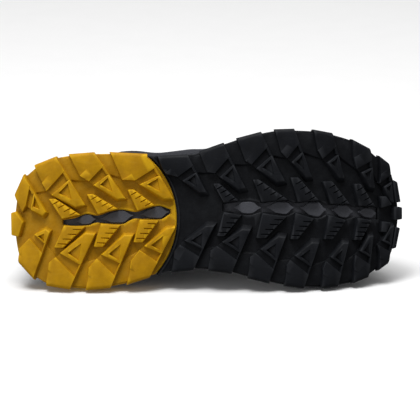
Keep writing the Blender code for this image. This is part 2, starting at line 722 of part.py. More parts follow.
def upper(material):
    """Lasted shell with stepped overlays and punched eyelets."""
    panel_ends = (COUNTER_T, THROAT_TOP_T, STAY_END_T, CAP_T)
    lines = [at + shift for at in panel_ends for shift in (-FOLD_T, FOLD_T)]
    steps = np.array(sorted(set(RING_T) | {THROAT_FRONT_T} | set(lines)))
    folds = [at + shift for at in (RAND_V, CAP_V, STAY_V) for shift in (-FOLD_V, FOLD_V)]
    rises = {
        "outer": np.array(sorted((0.0, 1.0, *RISE_BENDS, *folds))),
        "inner": np.array(sorted((0.0, 1.0, *RISE_BENDS, RAND_V, CAP_V, STAY_V))),
    }
    ridge = steps > THROAT_FRONT_T - 1e-6
    bm = bmesh.new()
    walls = {}
    for face, rise in rises.items():
        grid_t, grid_v = np.meshgrid(steps, rise, indexing="ij")
        if face == "outer":
            offset = overlay_height(grid_t, grid_v)
        else:
            offset = -np.where((grid_t < THROAT_TOP_T) & (grid_v >= STAY_V), COLLAR_WALL, WALL)
        sheets = {
            side: shell_point(side, grid_t, grid_v) + shell_normal(side, grid_t, grid_v) * offset[..., None]
            for side in SIDE_SIGN
        }
        seam = (sheets["lat"][ridge, -1] + sheets["med"][ridge, -1]) / 2
        for side in SIDE_SIGN:
            sheets[side][ridge, -1] = seam
        columns = np.concatenate((sheets["lat"], sheets["med"][-2:0:-1]))
        walls[face] = [[bm.verts.new(place) for place in column] for column in columns]
    closed = np.concatenate((ridge, ridge[-2:0:-1]))
    count = len(closed)
    for at in range(count):
        after = (at + 1) % count
        for columns in walls.values():
            here, there = columns[at], columns[after]
            for row in range(len(here) - 1):
                bm.faces.new((here[row], there[row], there[row + 1], here[row + 1]))
        outer, outer_after = walls["outer"][at], walls["outer"][after]
        inner, inner_after = walls["inner"][at], walls["inner"][after]
        bm.faces.new((outer[0], inner[0], inner_after[0], outer_after[0]))
        if not (closed[at] and closed[after]):
            bm.faces.new((outer[-1], outer_after[-1], inner_after[-1], inner[-1]))
    bmesh.ops.remove_doubles(bm, verts=bm.verts, dist=1e-4)
    item = new_object("upper", bm, material)

    holes = bmesh.new()
    for side in SIDE_SIGN:
        for t in EYELET_T:
            centre = shell_point(side, t, EYELET_V)
            axis = shell_normal(side, t, EYELET_V)
            beside = np.cross(axis, (1.0, 0.0, 0.0))
            beside = beside / np.linalg.norm(beside)
            third = np.cross(axis, beside)
            turns = np.linspace(0, 2 * np.pi, EYELET_SIDES, endpoint=False)
            circle = [EYELET_RADIUS * (beside * np.cos(a) + third * np.sin(a)) for a in turns]
            add_rings(holes, [
                [centre + axis * reach + point for point in circle] for reach in (-EYELET_REACH, EYELET_REACH)
            ])
    combine(item, new_object("eyelets", holes), "DIFFERENCE")
    return item


def tongue_sheet(depth):
    """Grid of tongue points at one depth under the last's surface, from its free top to its front."""
    spread = np.array(TONGUE_SPREAD)
    rows = []
    for t in np.linspace(*TONGUE_T, TONGUE_STEPS):
        flanks = {
            side: shell_point(side, t, spread) - shell_normal(side, t, spread) * depth for side in SIDE_SIGN
        }
        wide = np.linalg.norm(shell_point("lat", t, 1.0) - shell_point("med", t, 1.0))
        crown = TONGUE_CROWN * min(1.0, wide / CROWN_WIDE)
        middle = (flanks["lat"][-1] + flanks["med"][-1]) / 2 + (CROWN_LEAN * crown, 0.0, crown)
        rows.append(np.vstack((flanks["lat"], middle, flanks["med"][::-1])))
    root = rows[0]
    centre = root[len(root) // 2]
    for length, narrow in TONGUE_END:
        rows.insert(0, centre + (root - centre) * (1.0, narrow, narrow) + np.array(TONGUE_RISE) * length)
    return rows


def tongue(material):
    """Padded strip under the eyestay, free above the throat."""
    bm = bmesh.new()
    outer, inner = (
        [[bm.verts.new(point) for point in row] for row in tongue_sheet(depth)]
        for depth in (WALL + TONGUE_CLEAR, WALL + TONGUE_CLEAR + TONGUE_THICK)
    )
    for here, after, below, below_after in zip(outer, outer[1:], inner, inner[1:]):
        for at in range(len(here) - 1):
            bm.faces.new((here[at], here[at + 1], after[at + 1], after[at]))
            bm.faces.new((below[at], below_after[at], below_after[at + 1], below[at + 1]))
        for at in (0, -1):
            bm.faces.new((here[at], after[at], below_after[at], below[at]))
    for end in (0, -1):
        for at in range(len(outer[end]) - 1):
            bm.faces.new((outer[end][at], outer[end][at + 1], inner[end][at + 1], inner[end][at]))
    bmesh.ops.remove_doubles(bm, verts=bm.verts, dist=0.01)
    return new_object("tongue", bm, material)


def lace_point(side, t, v):
    """Point of the lace's middle over the upper."""
    return shell_point(side, t, v) + np.array(LACE_UP) * LACE_LIFT


def lace_path(start_side):
    """Zigzag of one lace half from the lowest eyelet to the top one, over eyestay and tongue."""
    sides = ("lat", "med") if start_side == "lat" else ("med", "lat")
    points = []
    levels = EYELET_T[::-1]
    for at, (t, after) in enumerate(zip(levels, levels[1:])):
        here, there = sides[at % 2], sides[(at + 1) % 2]
        stops = (
            (here, 0.0, EYELET_V), (here, LACE_TURN, 1.0),
            (there, 1 - LACE_TURN, 1.0), (there, 1.0, EYELET_V),
        )
        run = [lace_point(side, t + (after - t) * part, v) for side, part, v in stops]
        points.extend(run if at == 0 else run[1:])
    return points


def tube(name, points, material):
    """Round tube along a polyline."""
    curve = bpy.data.curves.new(name, "CURVE")
    curve.dimensions = "3D"
    curve.bevel_depth = LACE_RADIUS * MM
    curve.bevel_resolution = 1
    curve.use_fill_caps = True
    line = curve.splines.new("POLY")
    line.points.add(len(points) - 1)
    for point, place in zip(line.points, points):
        point.co = (*(np.asarray(place) * MM), 1.0)
    maker = bpy.data.objects.new(name, curve)
    bpy.context.scene.collection.objects.link(maker)
    depsgraph = bpy.context.evaluated_depsgraph_get()
    mesh = bpy.data.meshes.new_from_object(maker.evaluated_get(depsgraph))
    bpy.data.objects.remove(maker)
    mesh.materials.clear()
    mesh.materials.append(material)
    item = bpy.data.objects.new(name, mesh)
    bpy.context.scene.collection.objects.link(item)
    return item


def lace(material):
    """Criss-cross lace over the throat, its two halves joined at the crossings."""
    low = EYELET_T[-1]
    bar = [lace_point(side, low, v) for side, v in (("med", EYELET_V), ("med", 1.0), ("lat", 1.0))]
    item = tube("lace", bar + lace_path("lat"), material)
    combine(item, tube("lace_half", lace_path("med"), material), "UNION")
    return item


def lay_down(items):
    """Turn and place the shoe on the face of its hull that lies under the balance point."""
    cloud = np.vstack([[vert.co for vert in item.data.vertices] for item in items])
    hull = bmesh.new()
    for place in cloud:
        hull.verts.new(place)
    bmesh.ops.convex_hull(hull, input=hull.verts)
    balance = np.array(BALANCE) * MM
    best = None
    for face in hull.faces:
        normal = np.array(face.normal)
        if normal[1] < SIDE_FACING:
            continue
        corners = np.array([vert.co for vert in face.verts])
        foot = balance + normal * np.dot(corners[0] - balance, normal)
        turns = np.cross(np.roll(corners, -1, axis=0) - corners, foot - corners) @ normal
        if np.all(turns >= 0):
            best = normal
    hull.free()
    toe = np.array((1.0, 0.0, 0.0)) - best * best[0]
    toe = toe / np.linalg.norm(toe)
    turn = np.vstack((toe, np.cross(-best, toe), -best))
    turned = cloud @ turn.T
    low, high = turned.min(axis=0), turned.max(axis=0)
    shift = (-(low[0] + high[0]) / 2, -(low[1] + high[1]) / 2, -low[2])
    place = Matrix.Translation(shift) @ Matrix(turn.tolist()).to_4x4()
    holder = bpy.data.objects.new("shoe", None)
    bpy.context.scene.collection.objects.link(holder)
    holder.matrix_world = place
    for item in items:
        item.parent = holder


for thing in list(bpy.data.objects):
    bpy.data.objects.remove(thing)

YELLOW_RUBBER = rubber_like("rubber_yellow", (0.62, 0.47, 0.02), 0.6)
BLACK_RUBBER = rubber_like("rubber_black", (0.022, 0.022, 0.024), 0.6)
GREY_FOAM = rubber_like("foam_grey", (0.09, 0.095, 0.11), 0.8)
BLACK_FABRIC = rubber_like("fabric_black", (0.028, 0.03, 0.034), 0.85)
GREY_FABRIC = rubber_like("fabric_grey", (0.16, 0.165, 0.175), 0.9)
LACE_FABRIC = rubber_like("lace_black", (0.03, 0.03, 0.032), 0.85)

lay_down([
    outsole(
        "outsole_heel", HEEL_BARS, HEEL_BLADES, HEEL_BLOCKS, HEEL_RIBS, HEEL_WINDOW,
        False, YELLOW_RUBBER,
    ),
    outsole(
        "outsole_forefoot", FORE_BARS, FORE_BLADES, FORE_BLOCKS, FORE_RIBS, FORE_WINDOW,
        True, BLACK_RUBBER,
    ),
    midsole(GREY_FOAM),
    upper(BLACK_FABRIC),
    insole(GREY_FABRIC),
    tongue(BLACK_FABRIC),
    lace(LACE_FABRIC),
])
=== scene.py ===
import json

import bmesh
import bpy
import numpy as np
from mathutils import Matrix, Vector


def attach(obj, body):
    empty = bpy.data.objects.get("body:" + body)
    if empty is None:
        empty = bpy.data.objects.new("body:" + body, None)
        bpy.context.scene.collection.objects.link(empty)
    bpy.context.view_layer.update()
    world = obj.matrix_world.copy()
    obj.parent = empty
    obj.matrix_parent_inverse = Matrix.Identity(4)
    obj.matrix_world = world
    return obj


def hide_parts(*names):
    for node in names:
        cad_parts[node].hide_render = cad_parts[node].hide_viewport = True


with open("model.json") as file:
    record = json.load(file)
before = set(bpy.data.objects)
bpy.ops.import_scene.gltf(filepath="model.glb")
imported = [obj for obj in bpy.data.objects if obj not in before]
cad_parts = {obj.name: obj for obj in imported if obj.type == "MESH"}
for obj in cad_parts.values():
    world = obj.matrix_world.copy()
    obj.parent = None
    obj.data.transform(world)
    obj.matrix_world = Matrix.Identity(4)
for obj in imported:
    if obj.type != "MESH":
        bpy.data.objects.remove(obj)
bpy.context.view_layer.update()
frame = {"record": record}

# Outsole: two pieces of moulded rubber, a yellow heel and a black forefoot, that meet at a curved seam.
# Each is pressed in a mould as one skin with deep lugs, a turned up rim and a wavy centre window,
# and is cemented to the foam. Sizes are in millimetres on the last: x to the toe, y to the inner side, z up.
MM = 0.001
GAP = 0.3
SOLE_LENGTH = 255.0
HEEL_FLAT_X = 51.0
HEEL_RISE = 9.0
ARCH_X = 112.0
ARCH_HALF = 32.0
ARCH_RISE = 2.0
TOE_FLAT_X = 170.0
TOE_RISE = 24.0
LUG_DEPTH = 4.5
SKIN = 2.5
RIM_HEIGHT = 8.0
RIM_WALL = 2.0
RIM_LEAN = 2.0
RIM_ROUND = 0.9
RIM_SOFT = 0.3 * RIM_ROUND
NOTCH_X = (8.0, 30.0, 228.0, 246.0)
NOTCH_DEEP = (2.2, 0.0, 0.0, 2.0)
LUG_DRAFT = 0.9
LUG_OUT = 1.2
FLUSH_X = (88.7, 95.9, 115.1, 122.6)
FLUSH_SHARE = (1.0, 0.25, 0.25, 1.0)
HEEL_END_DRAFT = 1.9
FORE_END_DRAFT = 3.6
BACK_DRAFT = 0.7
SHELF_HEIGHT = 1.1
SHELF_INSET = 1.2
SHELF_SLOPE = 2.4
LIP_WIDE = 1.9
LIP_HEIGHT = 0.5
LIP_SPAN = (-47.0, 42.0)
LIP_STEPS = 46
STRIP_LAP = 0.03
STRIP_DROP = 0.25
WEB_LAP = 0.4
LUG_ROOT = 0.8
SLAB_EDGE = 0.8
LUG_EDGE = 0.6
LOW_EDGE = 0.12
EDGE_SEGMENTS = 2
EDGE_ANGLE = np.radians(24)
WEB_HEIGHT = 1.9
RIB_TOP = 6.2
RIB_INSET = 0.4
ROLL_STEPS = ((2.6, 0.0), (1.6, 0.25), (0.7, 0.8), (0.0, 1.9))
WEDGE_FROM = {"lat": 0.0, "med": 0.3}
WEDGE_LONG = {"lat": 7.5, "med": 4.2}
WEDGE_MOST = 0.5
WEDGE_DROP = {"lat": 1.2, "med": 0.6}
FOLD = 4.2
STRIP = {"lat": 1.5, "med": 0.8}
SEAM_X = 55.5
SEAM_Y = 2.0
SEAM_RADIUS = 52.7
SEAM_GAP = 0.4
SEAM_CHAMFER = 0.7
SEAM_SPAN = (-50.0, 50.0)
SEAM_STEPS = 61
SIDE_SIGN = {"lat": -1.0, "med": 1.0}
SHARP_ANGLE = 32
SPAN = 0.02
BEND_SPAN = 0.05
TIP_ROUNDS = 5
CUT_OVER = 1.0
SLICE_FIRST = 4.0
SLICE_STEP = 5.0
MERGE = 1e-4
SHORT = 0.8
MEND_ROUNDS = 4

SECTION_COLUMNS = (
    "sole_x", "sole_lat", "sole_med", "feather_x", "feather_lat", "feather_med",
    "top_x", "top_lat", "top_med", "top_z", "dome", "bulge",
)
SECTION_ROWS = (
    (0.9, 5.0, 5.0, 12.0, 4.0, 4.0, 16.0, 4.0, 4.0, 81.0, 0.45, 3.2),
    (2.8, -14.0, 22.5, 15.5, -10.0, 18.0, 18.0, -7.5, 15.5, 80.0, 0.45, 3.0),
    (10.0, -27.5, 35.6, 25.0, -21.5, 29.0, 26.0, -16.5, 24.5, 77.0, 0.45, 2.4),
    (28.0, -37.0, 45.2, 42.0, -28.0, 34.5, 41.0, -22.0, 29.0, 72.5, 0.42, 1.6),
    (52.0, -40.1, 46.9, 62.0, -30.5, 35.0, 59.0, -24.0, 30.5, 70.0, 0.40, 1.0),
    (75.0, -40.3, 43.6, 83.0, -32.0, 33.0, 76.0, -23.5, 30.3, 73.5, 0.40, 0.6),
    (97.0, -38.6, 37.0, 103.0, -34.5, 30.5, 91.0, -19.5, 28.0, 82.0, 0.42, 0.3),
    (118.0, -39.9, 34.0, 122.0, -38.0, 29.5, 104.0, -12.5, 19.5, 91.0, 0.45, 0.0),
    (138.0, -46.2, 35.2, 140.0, -42.5, 31.5, 120.0, -9.5, 15.5, 87.0, 0.52, 0.0),
    (158.0, -52.4, 40.2, 158.0, -46.5, 35.5, 137.0, -7.5, 12.5, 79.5, 0.66, 0.0),
    (178.0, -55.4, 44.3, 177.0, -48.8, 39.5, 157.0, 2.2, 2.2, 71.0, 0.80, 0.0),
    (197.0, -54.8, 46.0, 195.0, -48.5, 41.0, 176.0, 2.0, 2.0, 66.0, 0.90, 0.0),
    (213.0, -51.6, 44.6, 211.0, -45.0, 39.5, 192.0, 1.8, 1.8, 62.5, 0.95, 0.0),
    (228.0, -46.2, 40.9, 225.0, -38.5, 35.0, 206.0, 1.4, 1.4, 60.2, 1.0, 0.0),
    (240.0, -38.2, 34.0, 236.0, -29.0, 27.5, 217.0, 1.0, 1.0, 58.5, 1.0, 0.0),
    (249.0, -29.8, 26.0, 243.0, -16.5, 16.0, 225.0, 0.6, 0.6, 57.0, 1.0, 0.0),
    (254.3, -1.0, -1.0, 246.0, 0.0, 0.0, 229.0, 0.4, 0.4, 55.5, 1.0, 0.0),
)
LAST_T = len(SECTION_ROWS) - 1

# Outer bars of the tread as seen from below: front corner and width at the edge, front of the inner tip,
# and, where a bar is divided in its own way, the shares of its length that differ from the usual ones
BAR_COLUMNS = ("edge_x", "slab_wide", "tip_x", "tip_y", "frame_wide", "shoulder", "slab_end",
               "frame_start", "frame_corner")
BAR_SHARES = {"shoulder": 0.47, "slab_end": 0.305, "frame_start": 0.475, "frame_corner": 0.695}
HEEL_BARS = {
    "lat": (
        (8.5, 5.9, 23.5, -2.6, 8.3),
        (29.7, 14.1, 48.8, -7.2, 16.8, 0.37),
        (54.6, 16.2, 75.0, -11.3, 14.7),
        (89.3, 24.1, 106.2, -11.1, 17.2, 0.62),
    ),
    "med": (
        (15.0, 9.8, 26.1, 10.4, 9.5, 0.30, 0.55, 0.74, 0.80),
        (38.8, 15.3, 55.4, 11.7, 17.0, 0.42, 0.22, 0.44, 0.62),
        (65.2, 15.6, 79.9, 12.4, 15.6, 0.42, 0.22, 0.46, 0.65),
        (90.6, 14.3, 107.6, 7.2, 15.8),
    ),
}
FORE_BARS = {
    "lat": (
        (115.1, 19.2, 127.1, -15.6, 11.9),
        (137.9, 15.3, 152.6, -18.3, 12.7),
        (162.3, 15.3, 178.0, -22.8, 14.1),
        (184.2, 12.7, 195.6, -25.4, 9.8),
        (209.3, 12.4, 216.8, -24.8, 9.1),
        (234.1, 11.7, 236.7, -18.3, 8.3),
        (246.5, 6.2, 249.4, -9.1, 6.0),
    ),
    "med": (
        (118.7, 13.7, 132.4, 6.5, 15.5),
        (143.4, 15.0, 155.8, 9.1, 15.1),
        (167.6, 13.4, 178.6, 14.0, 13.4),
        (190.4, 12.4, 200.5, 17.6, 13.2),
        (212.6, 10.4, 219.7, 17.6, 9.8),
        (232.8, 9.8, 236.0, 13.0, 8.2),
        (246.0, 6.2, 249.6, 6.5, 7.0),
    ),
}

# Siped blades between the bars and the centre window: outer end, its width, inner end along the window
BLADE_COLUMNS = ("outer_x", "outer_y", "outer_wide", "inner_back_x", "inner_front_x")
HEEL_BLADES = (
    (25.4, -11.1, 3.9, 33.9, 45.6),
    (50.2, -14.0, 3.9, 57.4, 69.8),
    (76.6, -17.0, 3.6, 82.8, 93.9),
    (29.0, 20.5, 5.5, 35.2, 48.9),
    (54.8, 19.9, 5.5, 59.3, 71.7),
    (80.5, 17.0, 5.5, 84.4, 96.5),
)
FORE_BLADES = (
    (131.7, -20.9, 3.9, 138.6, 148.0),
    (157.5, -23.5, 3.6, 163.0, 180.0),
    (181.9, -24.8, 5.0, 186.7, 200.2),
    (203.0, -22.3, 6.0, 208.1, 220.4),
    (223.6, -20.7, 4.0, 226.4, 237.0),
    (134.3, 13.0, 4.6, 138.6, 150.0),
    (159.7, 14.3, 6.0, 163.7, 179.0),
    (181.9, 15.0, 4.5, 185.2, 197.0),
    (203.8, 15.0, 5.5, 206.9, 217.8),
    (223.6, 15.6, 4.3, 226.0, 234.7),
)
BLADE_MARGIN = 0.8
SIPE_COUNT = 4
SIPE_FREE = 0.9
SIPE_START = 0.16
SIPE_END = 0.84
SIPE_WIDE = 1.5
SIPE_DEEP = 1.6
SIPE_OVER = 0.6
SIPE_START_X = -0.4
SIPE_END_SHARE = 0.4
SIPE_END_DEEP = 1.0
SIPE_LONG = {"lat": 4.4, "med": 5.4}
SIPE_TURN = {"lat": np.radians(153), "med": np.radians(-176)}

# Blocks at the two ends and at the inner ends of the last row, as corner lists
HEEL_BLOCKS = (
    ((0.7, -2.0), (3.9, -2.9), (8.5, 3.9), (5.5, 13.4), (1.0, 12.4)),
)
FORE_BLOCKS = (
    ((249.0, -23.5), (251.6, -22.0), (253.8, -9.1), (250.9, -8.8)),
    ((250.0, -6.0), (254.8, -5.6), (254.8, 2.0), (250.0, 2.6)),
    ((248.4, 21.4), (250.8, 20.6), (253.4, 7.8), (250.8, 7.0)),
    ((240.6, -12.6), (244.4, -12.6), (248.2, -7.4), (241.5, -5.4)),
    ((241.4, 10.2), (244.4, 10.5), (247.3, 4.2), (241.9, 3.6)),
)

# Ribs that carry the end blocks up the rim, as corner lists
HEEL_RIBS = (
    ((0.7, -2.0), (6.0, -2.4), (6.0, 12.8), (1.0, 12.4)),
)
FORE_RIBS = (
    ((251.6, -22.0), (253.8, -9.1), (250.8, -8.4), (248.6, -20.8)),
    ((254.8, -5.6), (254.8, 2.0), (251.6, 2.0), (251.6, -5.6)),
    ((250.8, 20.6), (253.4, 7.8), (250.4, 7.2), (248.0, 19.8)),
)

# Wavy centre windows through the skin: x, lateral edge, medial edge
HEEL_WINDOW = (
    (34.6, 2.6, 5.5), (42.4, 1.3, 6.2), (50.2, -1.3, 6.0), (56.7, -0.3, 4.2), (64.5, -2.6, 4.9),
    (72.4, -4.1, 5.2), (81.5, -2.6, 1.6), (89.3, -4.9, 1.8), (97.1, -6.5, 2.2), (104.2, -4.2, -1.6),
)
FORE_WINDOW = (
    (138.2, -7.8, -3.3), (144.0, -8.5, -2.6), (154.5, -9.8, -0.7), (163.7, -8.2, -2.6),
    (170.2, -9.5, -1.6), (178.6, -9.9, -0.3), (185.8, -8.2, -2.9), (192.3, -9.1, -0.3),
    (199.5, -9.5, 1.3), (206.7, -7.0, -1.4), (217.1, -7.8, 2.0), (224.3, -5.9, 0.3),
    (234.1, -5.9, 2.0), (238.6, -5.2, 2.0),
)
WINDOW_STEPS = 60
WINDOW_FLARE = 0.7

# Inner end of a bar: lean of its shoulder and back, corner and tip of its frame, place of its notch,
# and the corners of the pocket as shares of the frame's two edges
BACK_LEAN = (1.0, 0.5)
SHOULDER_LEAN = {"lat": 0.75, "med": 0.3}
CORNER_BACK = 0.96
TIP_WIDE = 0.36
APEX_BACK = 3.2
APEX_OUT = 2.6
POCKET = ((0.09, 0.17), (0.54, 0.37), (0.12, 0.69))
POCKET_DEEP = (1.5, 0.8, 2.4)
POCKET_DRAFT = 0.35


def smooth_curve(knots, values, flat_ends):
    """Monotone cubic through the knots, as a function of an array."""
    knots = np.asarray(knots, float)
    values = np.asarray(values, float)
    width = np.diff(knots)
    secant = np.diff(values) / width
    slope = np.zeros_like(values)
    before = 2 * width[1:] + width[:-1]
    after = width[1:] + 2 * width[:-1]
    same = secant[:-1] * secant[1:] > 0
    first = np.where(same, secant[:-1], 1.0)
    second = np.where(same, secant[1:], 1.0)
    slope[1:-1] = np.where(same, (before + after) / (before / first + after / second), 0.0)
    if not flat_ends:
        slope[0] = secant[0]
        slope[-1] = secant[-1]

    def at(where):
        where = np.clip(np.asarray(where, float), knots[0], knots[-1])
        piece = np.clip(np.searchsorted(knots, where, side="right") - 1, 0, len(width) - 1)
        span = width[piece]
        part = (where - knots[piece]) / span
        rest = 1 - part
        low = values[piece] * (1 + 2 * part) * rest**2 + span * slope[piece] * part * rest**2
        high = values[piece + 1] * part**2 * (3 - 2 * part) - span * slope[piece + 1] * part**2 * rest
        return low + high

    return at


LAST = {
    name: smooth_curve(np.arange(len(SECTION_ROWS)), column, not name.endswith(("lat", "med")))
    for name, column in zip(SECTION_COLUMNS, np.array(SECTION_ROWS).T)
}
FINE_T = np.linspace(0, LAST_T, 161)
SOLE_T = np.linspace(0, LAST_T, 113)

# The record's two tread mounts give the shoe's place on the floor
MOUNTS = {mount["name"]: mount for mount in frame["record"]["mounts"]}
HEEL_MOUNT_LAST = np.array((57.5, 33.0, 0.0)) * MM
heel_mount = np.array(MOUNTS["heel_tread"]["pos_m"])
to_toe = np.array(MOUNTS["forefoot_tread"]["pos_m"]) - heel_mount
to_toe = to_toe / np.linalg.norm(to_toe)
to_ankle = -np.array(MOUNTS["heel_tread"]["axis"])
to_ankle = to_ankle - to_toe * np.dot(to_ankle, to_toe)
to_ankle = to_ankle / np.linalg.norm(to_ankle)
LAST_AXES = np.column_stack((to_toe, np.cross(to_ankle, to_toe), to_ankle))
LAST_ORIGIN = heel_mount - LAST_AXES @ HEEL_MOUNT_LAST


def in_place(points):
    """Last points in millimetres to the lying shoe in metres."""
    return np.asarray(points, float) * MM @ LAST_AXES.T + LAST_ORIGIN


def sole_edge(side, x):
    """Y of the sole's edge on one side at x."""
    return np.interp(x, LAST["sole_x"](FINE_T), LAST["sole_" + side](FINE_T))


def toe_spring(x):
    """Rise of the forefoot over the ground at x."""
    return TOE_RISE * np.clip((x - TOE_FLAT_X) / (SOLE_LENGTH - TOE_FLAT_X), 0, None) ** 2


def rocker(x):
    """Height of the tread over the ground at x."""
    heel = HEEL_RISE * np.clip(1 - x / HEEL_FLAT_X, 0, None) ** 2
    arch = ARCH_RISE * np.cos(np.clip((x - ARCH_X) / ARCH_HALF, -1, 1) * np.pi / 2) ** 2
    return heel + arch + toe_spring(x)


def bend(points):
    """Flat tread points (x, y, minus depth below the skin) onto the rocker."""
    x, y, up = np.asarray(points, float).T
    slope = (rocker(x + BEND_SPAN) - rocker(x - BEND_SPAN)) / (2 * BEND_SPAN)
    square = 1 / np.sqrt(1 + slope**2)
    return np.column_stack((x - up * slope * square, y, LUG_DEPTH + rocker(x) + up * square))


def flat_of_tip(points):
    """Flat places whose lug tips are seen at the given places after the bend."""
    seen = np.asarray(points, float)
    flat = seen.copy()
    for _ in range(TIP_ROUNDS):
        tips = bend(np.column_stack((flat, np.full(len(flat), -LUG_DEPTH))))
        flat = flat + seen - tips[:, :2]
    return flat


def loop_of(kind, steps):
    """Closed plan loop: lateral side from heel to toe, then medial side back."""
    lateral = np.column_stack((LAST[kind + "_x"](steps), LAST[kind + "_lat"](steps)))
    medial = np.column_stack((LAST[kind + "_x"](steps), LAST[kind + "_med"](steps)))
    return np.vstack((lateral, medial[-2:0:-1]))


def grown(loop, distance):
    """Closed loop moved outward by a distance, or by one distance a corner."""
    loop = np.asarray(loop, float)
    x, y = loop.T
    turn = np.sign(np.sum(x * np.roll(y, -1) - np.roll(x, -1) * y))
    along = np.roll(loop, -1, axis=0) - np.roll(loop, 1, axis=0)
    along = along / np.linalg.norm(along, axis=1)[:, None]
    square = turn * np.column_stack((along[:, 1], -along[:, 0]))
    return loop + square * np.broadcast_to(distance, len(loop))[:, None]


def toward(start, goal, distance):
    """Point at a distance from start on the way to goal."""
    along = np.asarray(goal) - start
    return start + along / np.linalg.norm(along) * distance


def edge_point(side, x, out):
    """Point of the sole's edge at x, moved square out of the sole."""
    rise = (sole_edge(side, x + SPAN) - sole_edge(side, x - SPAN)) / (2 * SPAN)
    square = np.array((-rise, 1.0)) / np.hypot(rise, 1.0) * SIDE_SIGN[side]
    return np.array((x, sole_edge(side, x))) + square * out


def sole_rim():
    """Plan loop of the outsole's rim: the sole's edge, drawn in at heel and toe where the lugs stand free."""
    rim = loop_of("sole", SOLE_T)
    return grown(rim, -np.interp(rim[:, 0], NOTCH_X, NOTCH_DEEP))


def linked(name, data):
    """New object in the scene."""
    item = bpy.data.objects.new(name, data)
    bpy.context.scene.collection.objects.link(item)
    return item


def new_object(name, bm):
    """Object from a bmesh, with its faces turned outwards."""
    bmesh.ops.recalc_face_normals(bm, faces=bm.faces)
    mesh = bpy.data.meshes.new(name)
    bm.to_mesh(mesh)
    bm.free()
    return linked(name, mesh)


def bake(item):
    """Swap an object's modifiers for their result."""
    depsgraph = bpy.context.evaluated_depsgraph_get()
    mesh = bpy.data.meshes.new_from_object(item.evaluated_get(depsgraph))
    item.modifiers.clear()
    item.data = mesh


def combine(item, other, operation):
    """Boolean of two objects; the second one is used up."""
    modifier = item.modifiers.new(operation.lower(), "BOOLEAN")
    modifier.operation = operation
    modifier.object = other
    modifier.use_self = operation == "UNION"
    bake(item)
    bpy.data.objects.remove(other)


def add_rings(bm, rings):
    """Rows of vertices on rings of points, with the walls between them."""
    rows = [[bm.verts.new(point) for point in ring] for ring in rings]
    count = len(rows[0])
    for lower, upper in zip(rows, rows[1:]):
        for at in range(count):
            after = (at + 1) % count
            bm.faces.new((lower[at], lower[after], upper[after], upper[at]))
    return rows


def add_tube(bm, rings):
    """Closed tube on rings of points."""
    rows = add_rings(bm, rings)
    bm.faces.new(rows[0])
    bm.faces.new(rows[-1])


def add_stack(bm, rings):
    """Closed stack of plan rings, each given as (outline, depth or one depth a corner)."""
    add_tube(bm, [
        np.column_stack((outline, -np.broadcast_to(depth, len(outline)))) for outline, depth in rings
    ])


def combine_stack(item, rings, operation):
    """Boolean of an object and a stack of plan rings."""
    form = bmesh.new()
    add_stack(form, rings)
    combine(item, new_object("stack", form), operation)


def add_lug(bm, outline, height):
    """Drafted lug of one height, its root sunk into the skin."""
    add_stack(bm, ((outline, height), (grown(outline, LUG_DRAFT), -LUG_ROOT)))


def add_frame(bm, outline, end_draft):
    """Inner frame of a bar: a lug whose inner end and back run out in wide slopes."""
    front, tip, back, _ = outline
    foot = grown(outline, LUG_DRAFT)
    foot[1:3] += toward(front, tip, end_draft) - front
    foot[2:4] += toward(tip, back, BACK_DRAFT) - tip
    add_stack(bm, ((outline, LUG_DEPTH), (foot, -LUG_ROOT)))


def bar_edge(side, x):
    """Outer edge of a bar at x: a little outside the rim, but flush with it at the lateral waist."""
    share = np.interp(x, FLUSH_X, FLUSH_SHARE) if side == "lat" else 1.0
    return np.array((x, sole_edge(side, x) + SIDE_SIGN[side] * LUG_OUT * share))


def bar_plan(side, row):
    """Plan outlines of one outer bar: slab, frame, web, strip, pocket and rib up the rim."""
    bar = {**BAR_SHARES, **dict(zip(BAR_COLUMNS, row))}
    out = SIDE_SIGN[side]
    back_x = bar["edge_x"] - bar["slab_wide"]
    edge_front = bar_edge(side, bar["edge_x"])
    edge_back = bar_edge(side, back_x)
    tip = np.array((bar["tip_x"], bar["tip_y"]))
    inward = tip - edge_front
    across = (edge_back - edge_front) * BACK_LEAN
    across = across / np.linalg.norm(across)
    beside = across * STRIP[side]
    across = across * bar["frame_wide"]
    corner = edge_front + inward * bar["frame_corner"] + across * CORNER_BACK
    apex = corner + (-APEX_BACK, out * APEX_OUT)
    shoulder = edge_back + inward * bar["shoulder"] * (SHOULDER_LEAN[side], 1.0)
    slab_front = edge_front + inward * bar["slab_end"]
    frame_front = edge_front + inward * bar["frame_start"]
    inset = (0.0, out * RIB_INSET)
    rib = [edge_back - inset, edge_front - inset]
    for x in (bar["edge_x"], back_x):
        rib.append(edge_point(side, x, -RIM_LEAN - np.interp(x, NOTCH_X, NOTCH_DEEP)))
    lap = inward * STRIP_LAP
    plan = {
        "slab": (edge_front, slab_front, apex, shoulder, edge_back),
        "frame": (frame_front, tip, tip + across * TIP_WIDE, corner),
        "web": grown((slab_front, frame_front, corner, apex), WEB_LAP),
        "strip": (slab_front - lap, frame_front + lap, frame_front + beside, slab_front + beside),
        "pocket": [frame_front + (tip - frame_front) * a + (corner - frame_front) * b for a, b in POCKET],
        "rib": rib,
    }
    return {name: flat_of_tip(outline) for name, outline in plan.items()}


def add_shelf(bm, side, behind, before):
    """Low shelf on the outer part of the valley between two neighbouring bars."""
    inset = (0.0, SIDE_SIGN[side] * (LUG_OUT + SHELF_INSET))
    outer = (behind["slab"][0] - inset, before["slab"][4] - inset)
    top = np.array((*outer, before["slab"][2], behind["frame"][0]))
    foot = grown(top, SHELF_SLOPE)
    foot[:2] = top[:2]
    add_stack(bm, ((top, SHELF_HEIGHT), (foot, -LUG_ROOT)))


def seam_arc(radius, span, steps):
    """Plan points on an arc about the seam's centre."""
    turn = np.radians(np.linspace(*span, steps))
    return np.column_stack((SEAM_X + radius * np.cos(turn), SEAM_Y + radius * np.sin(turn)))


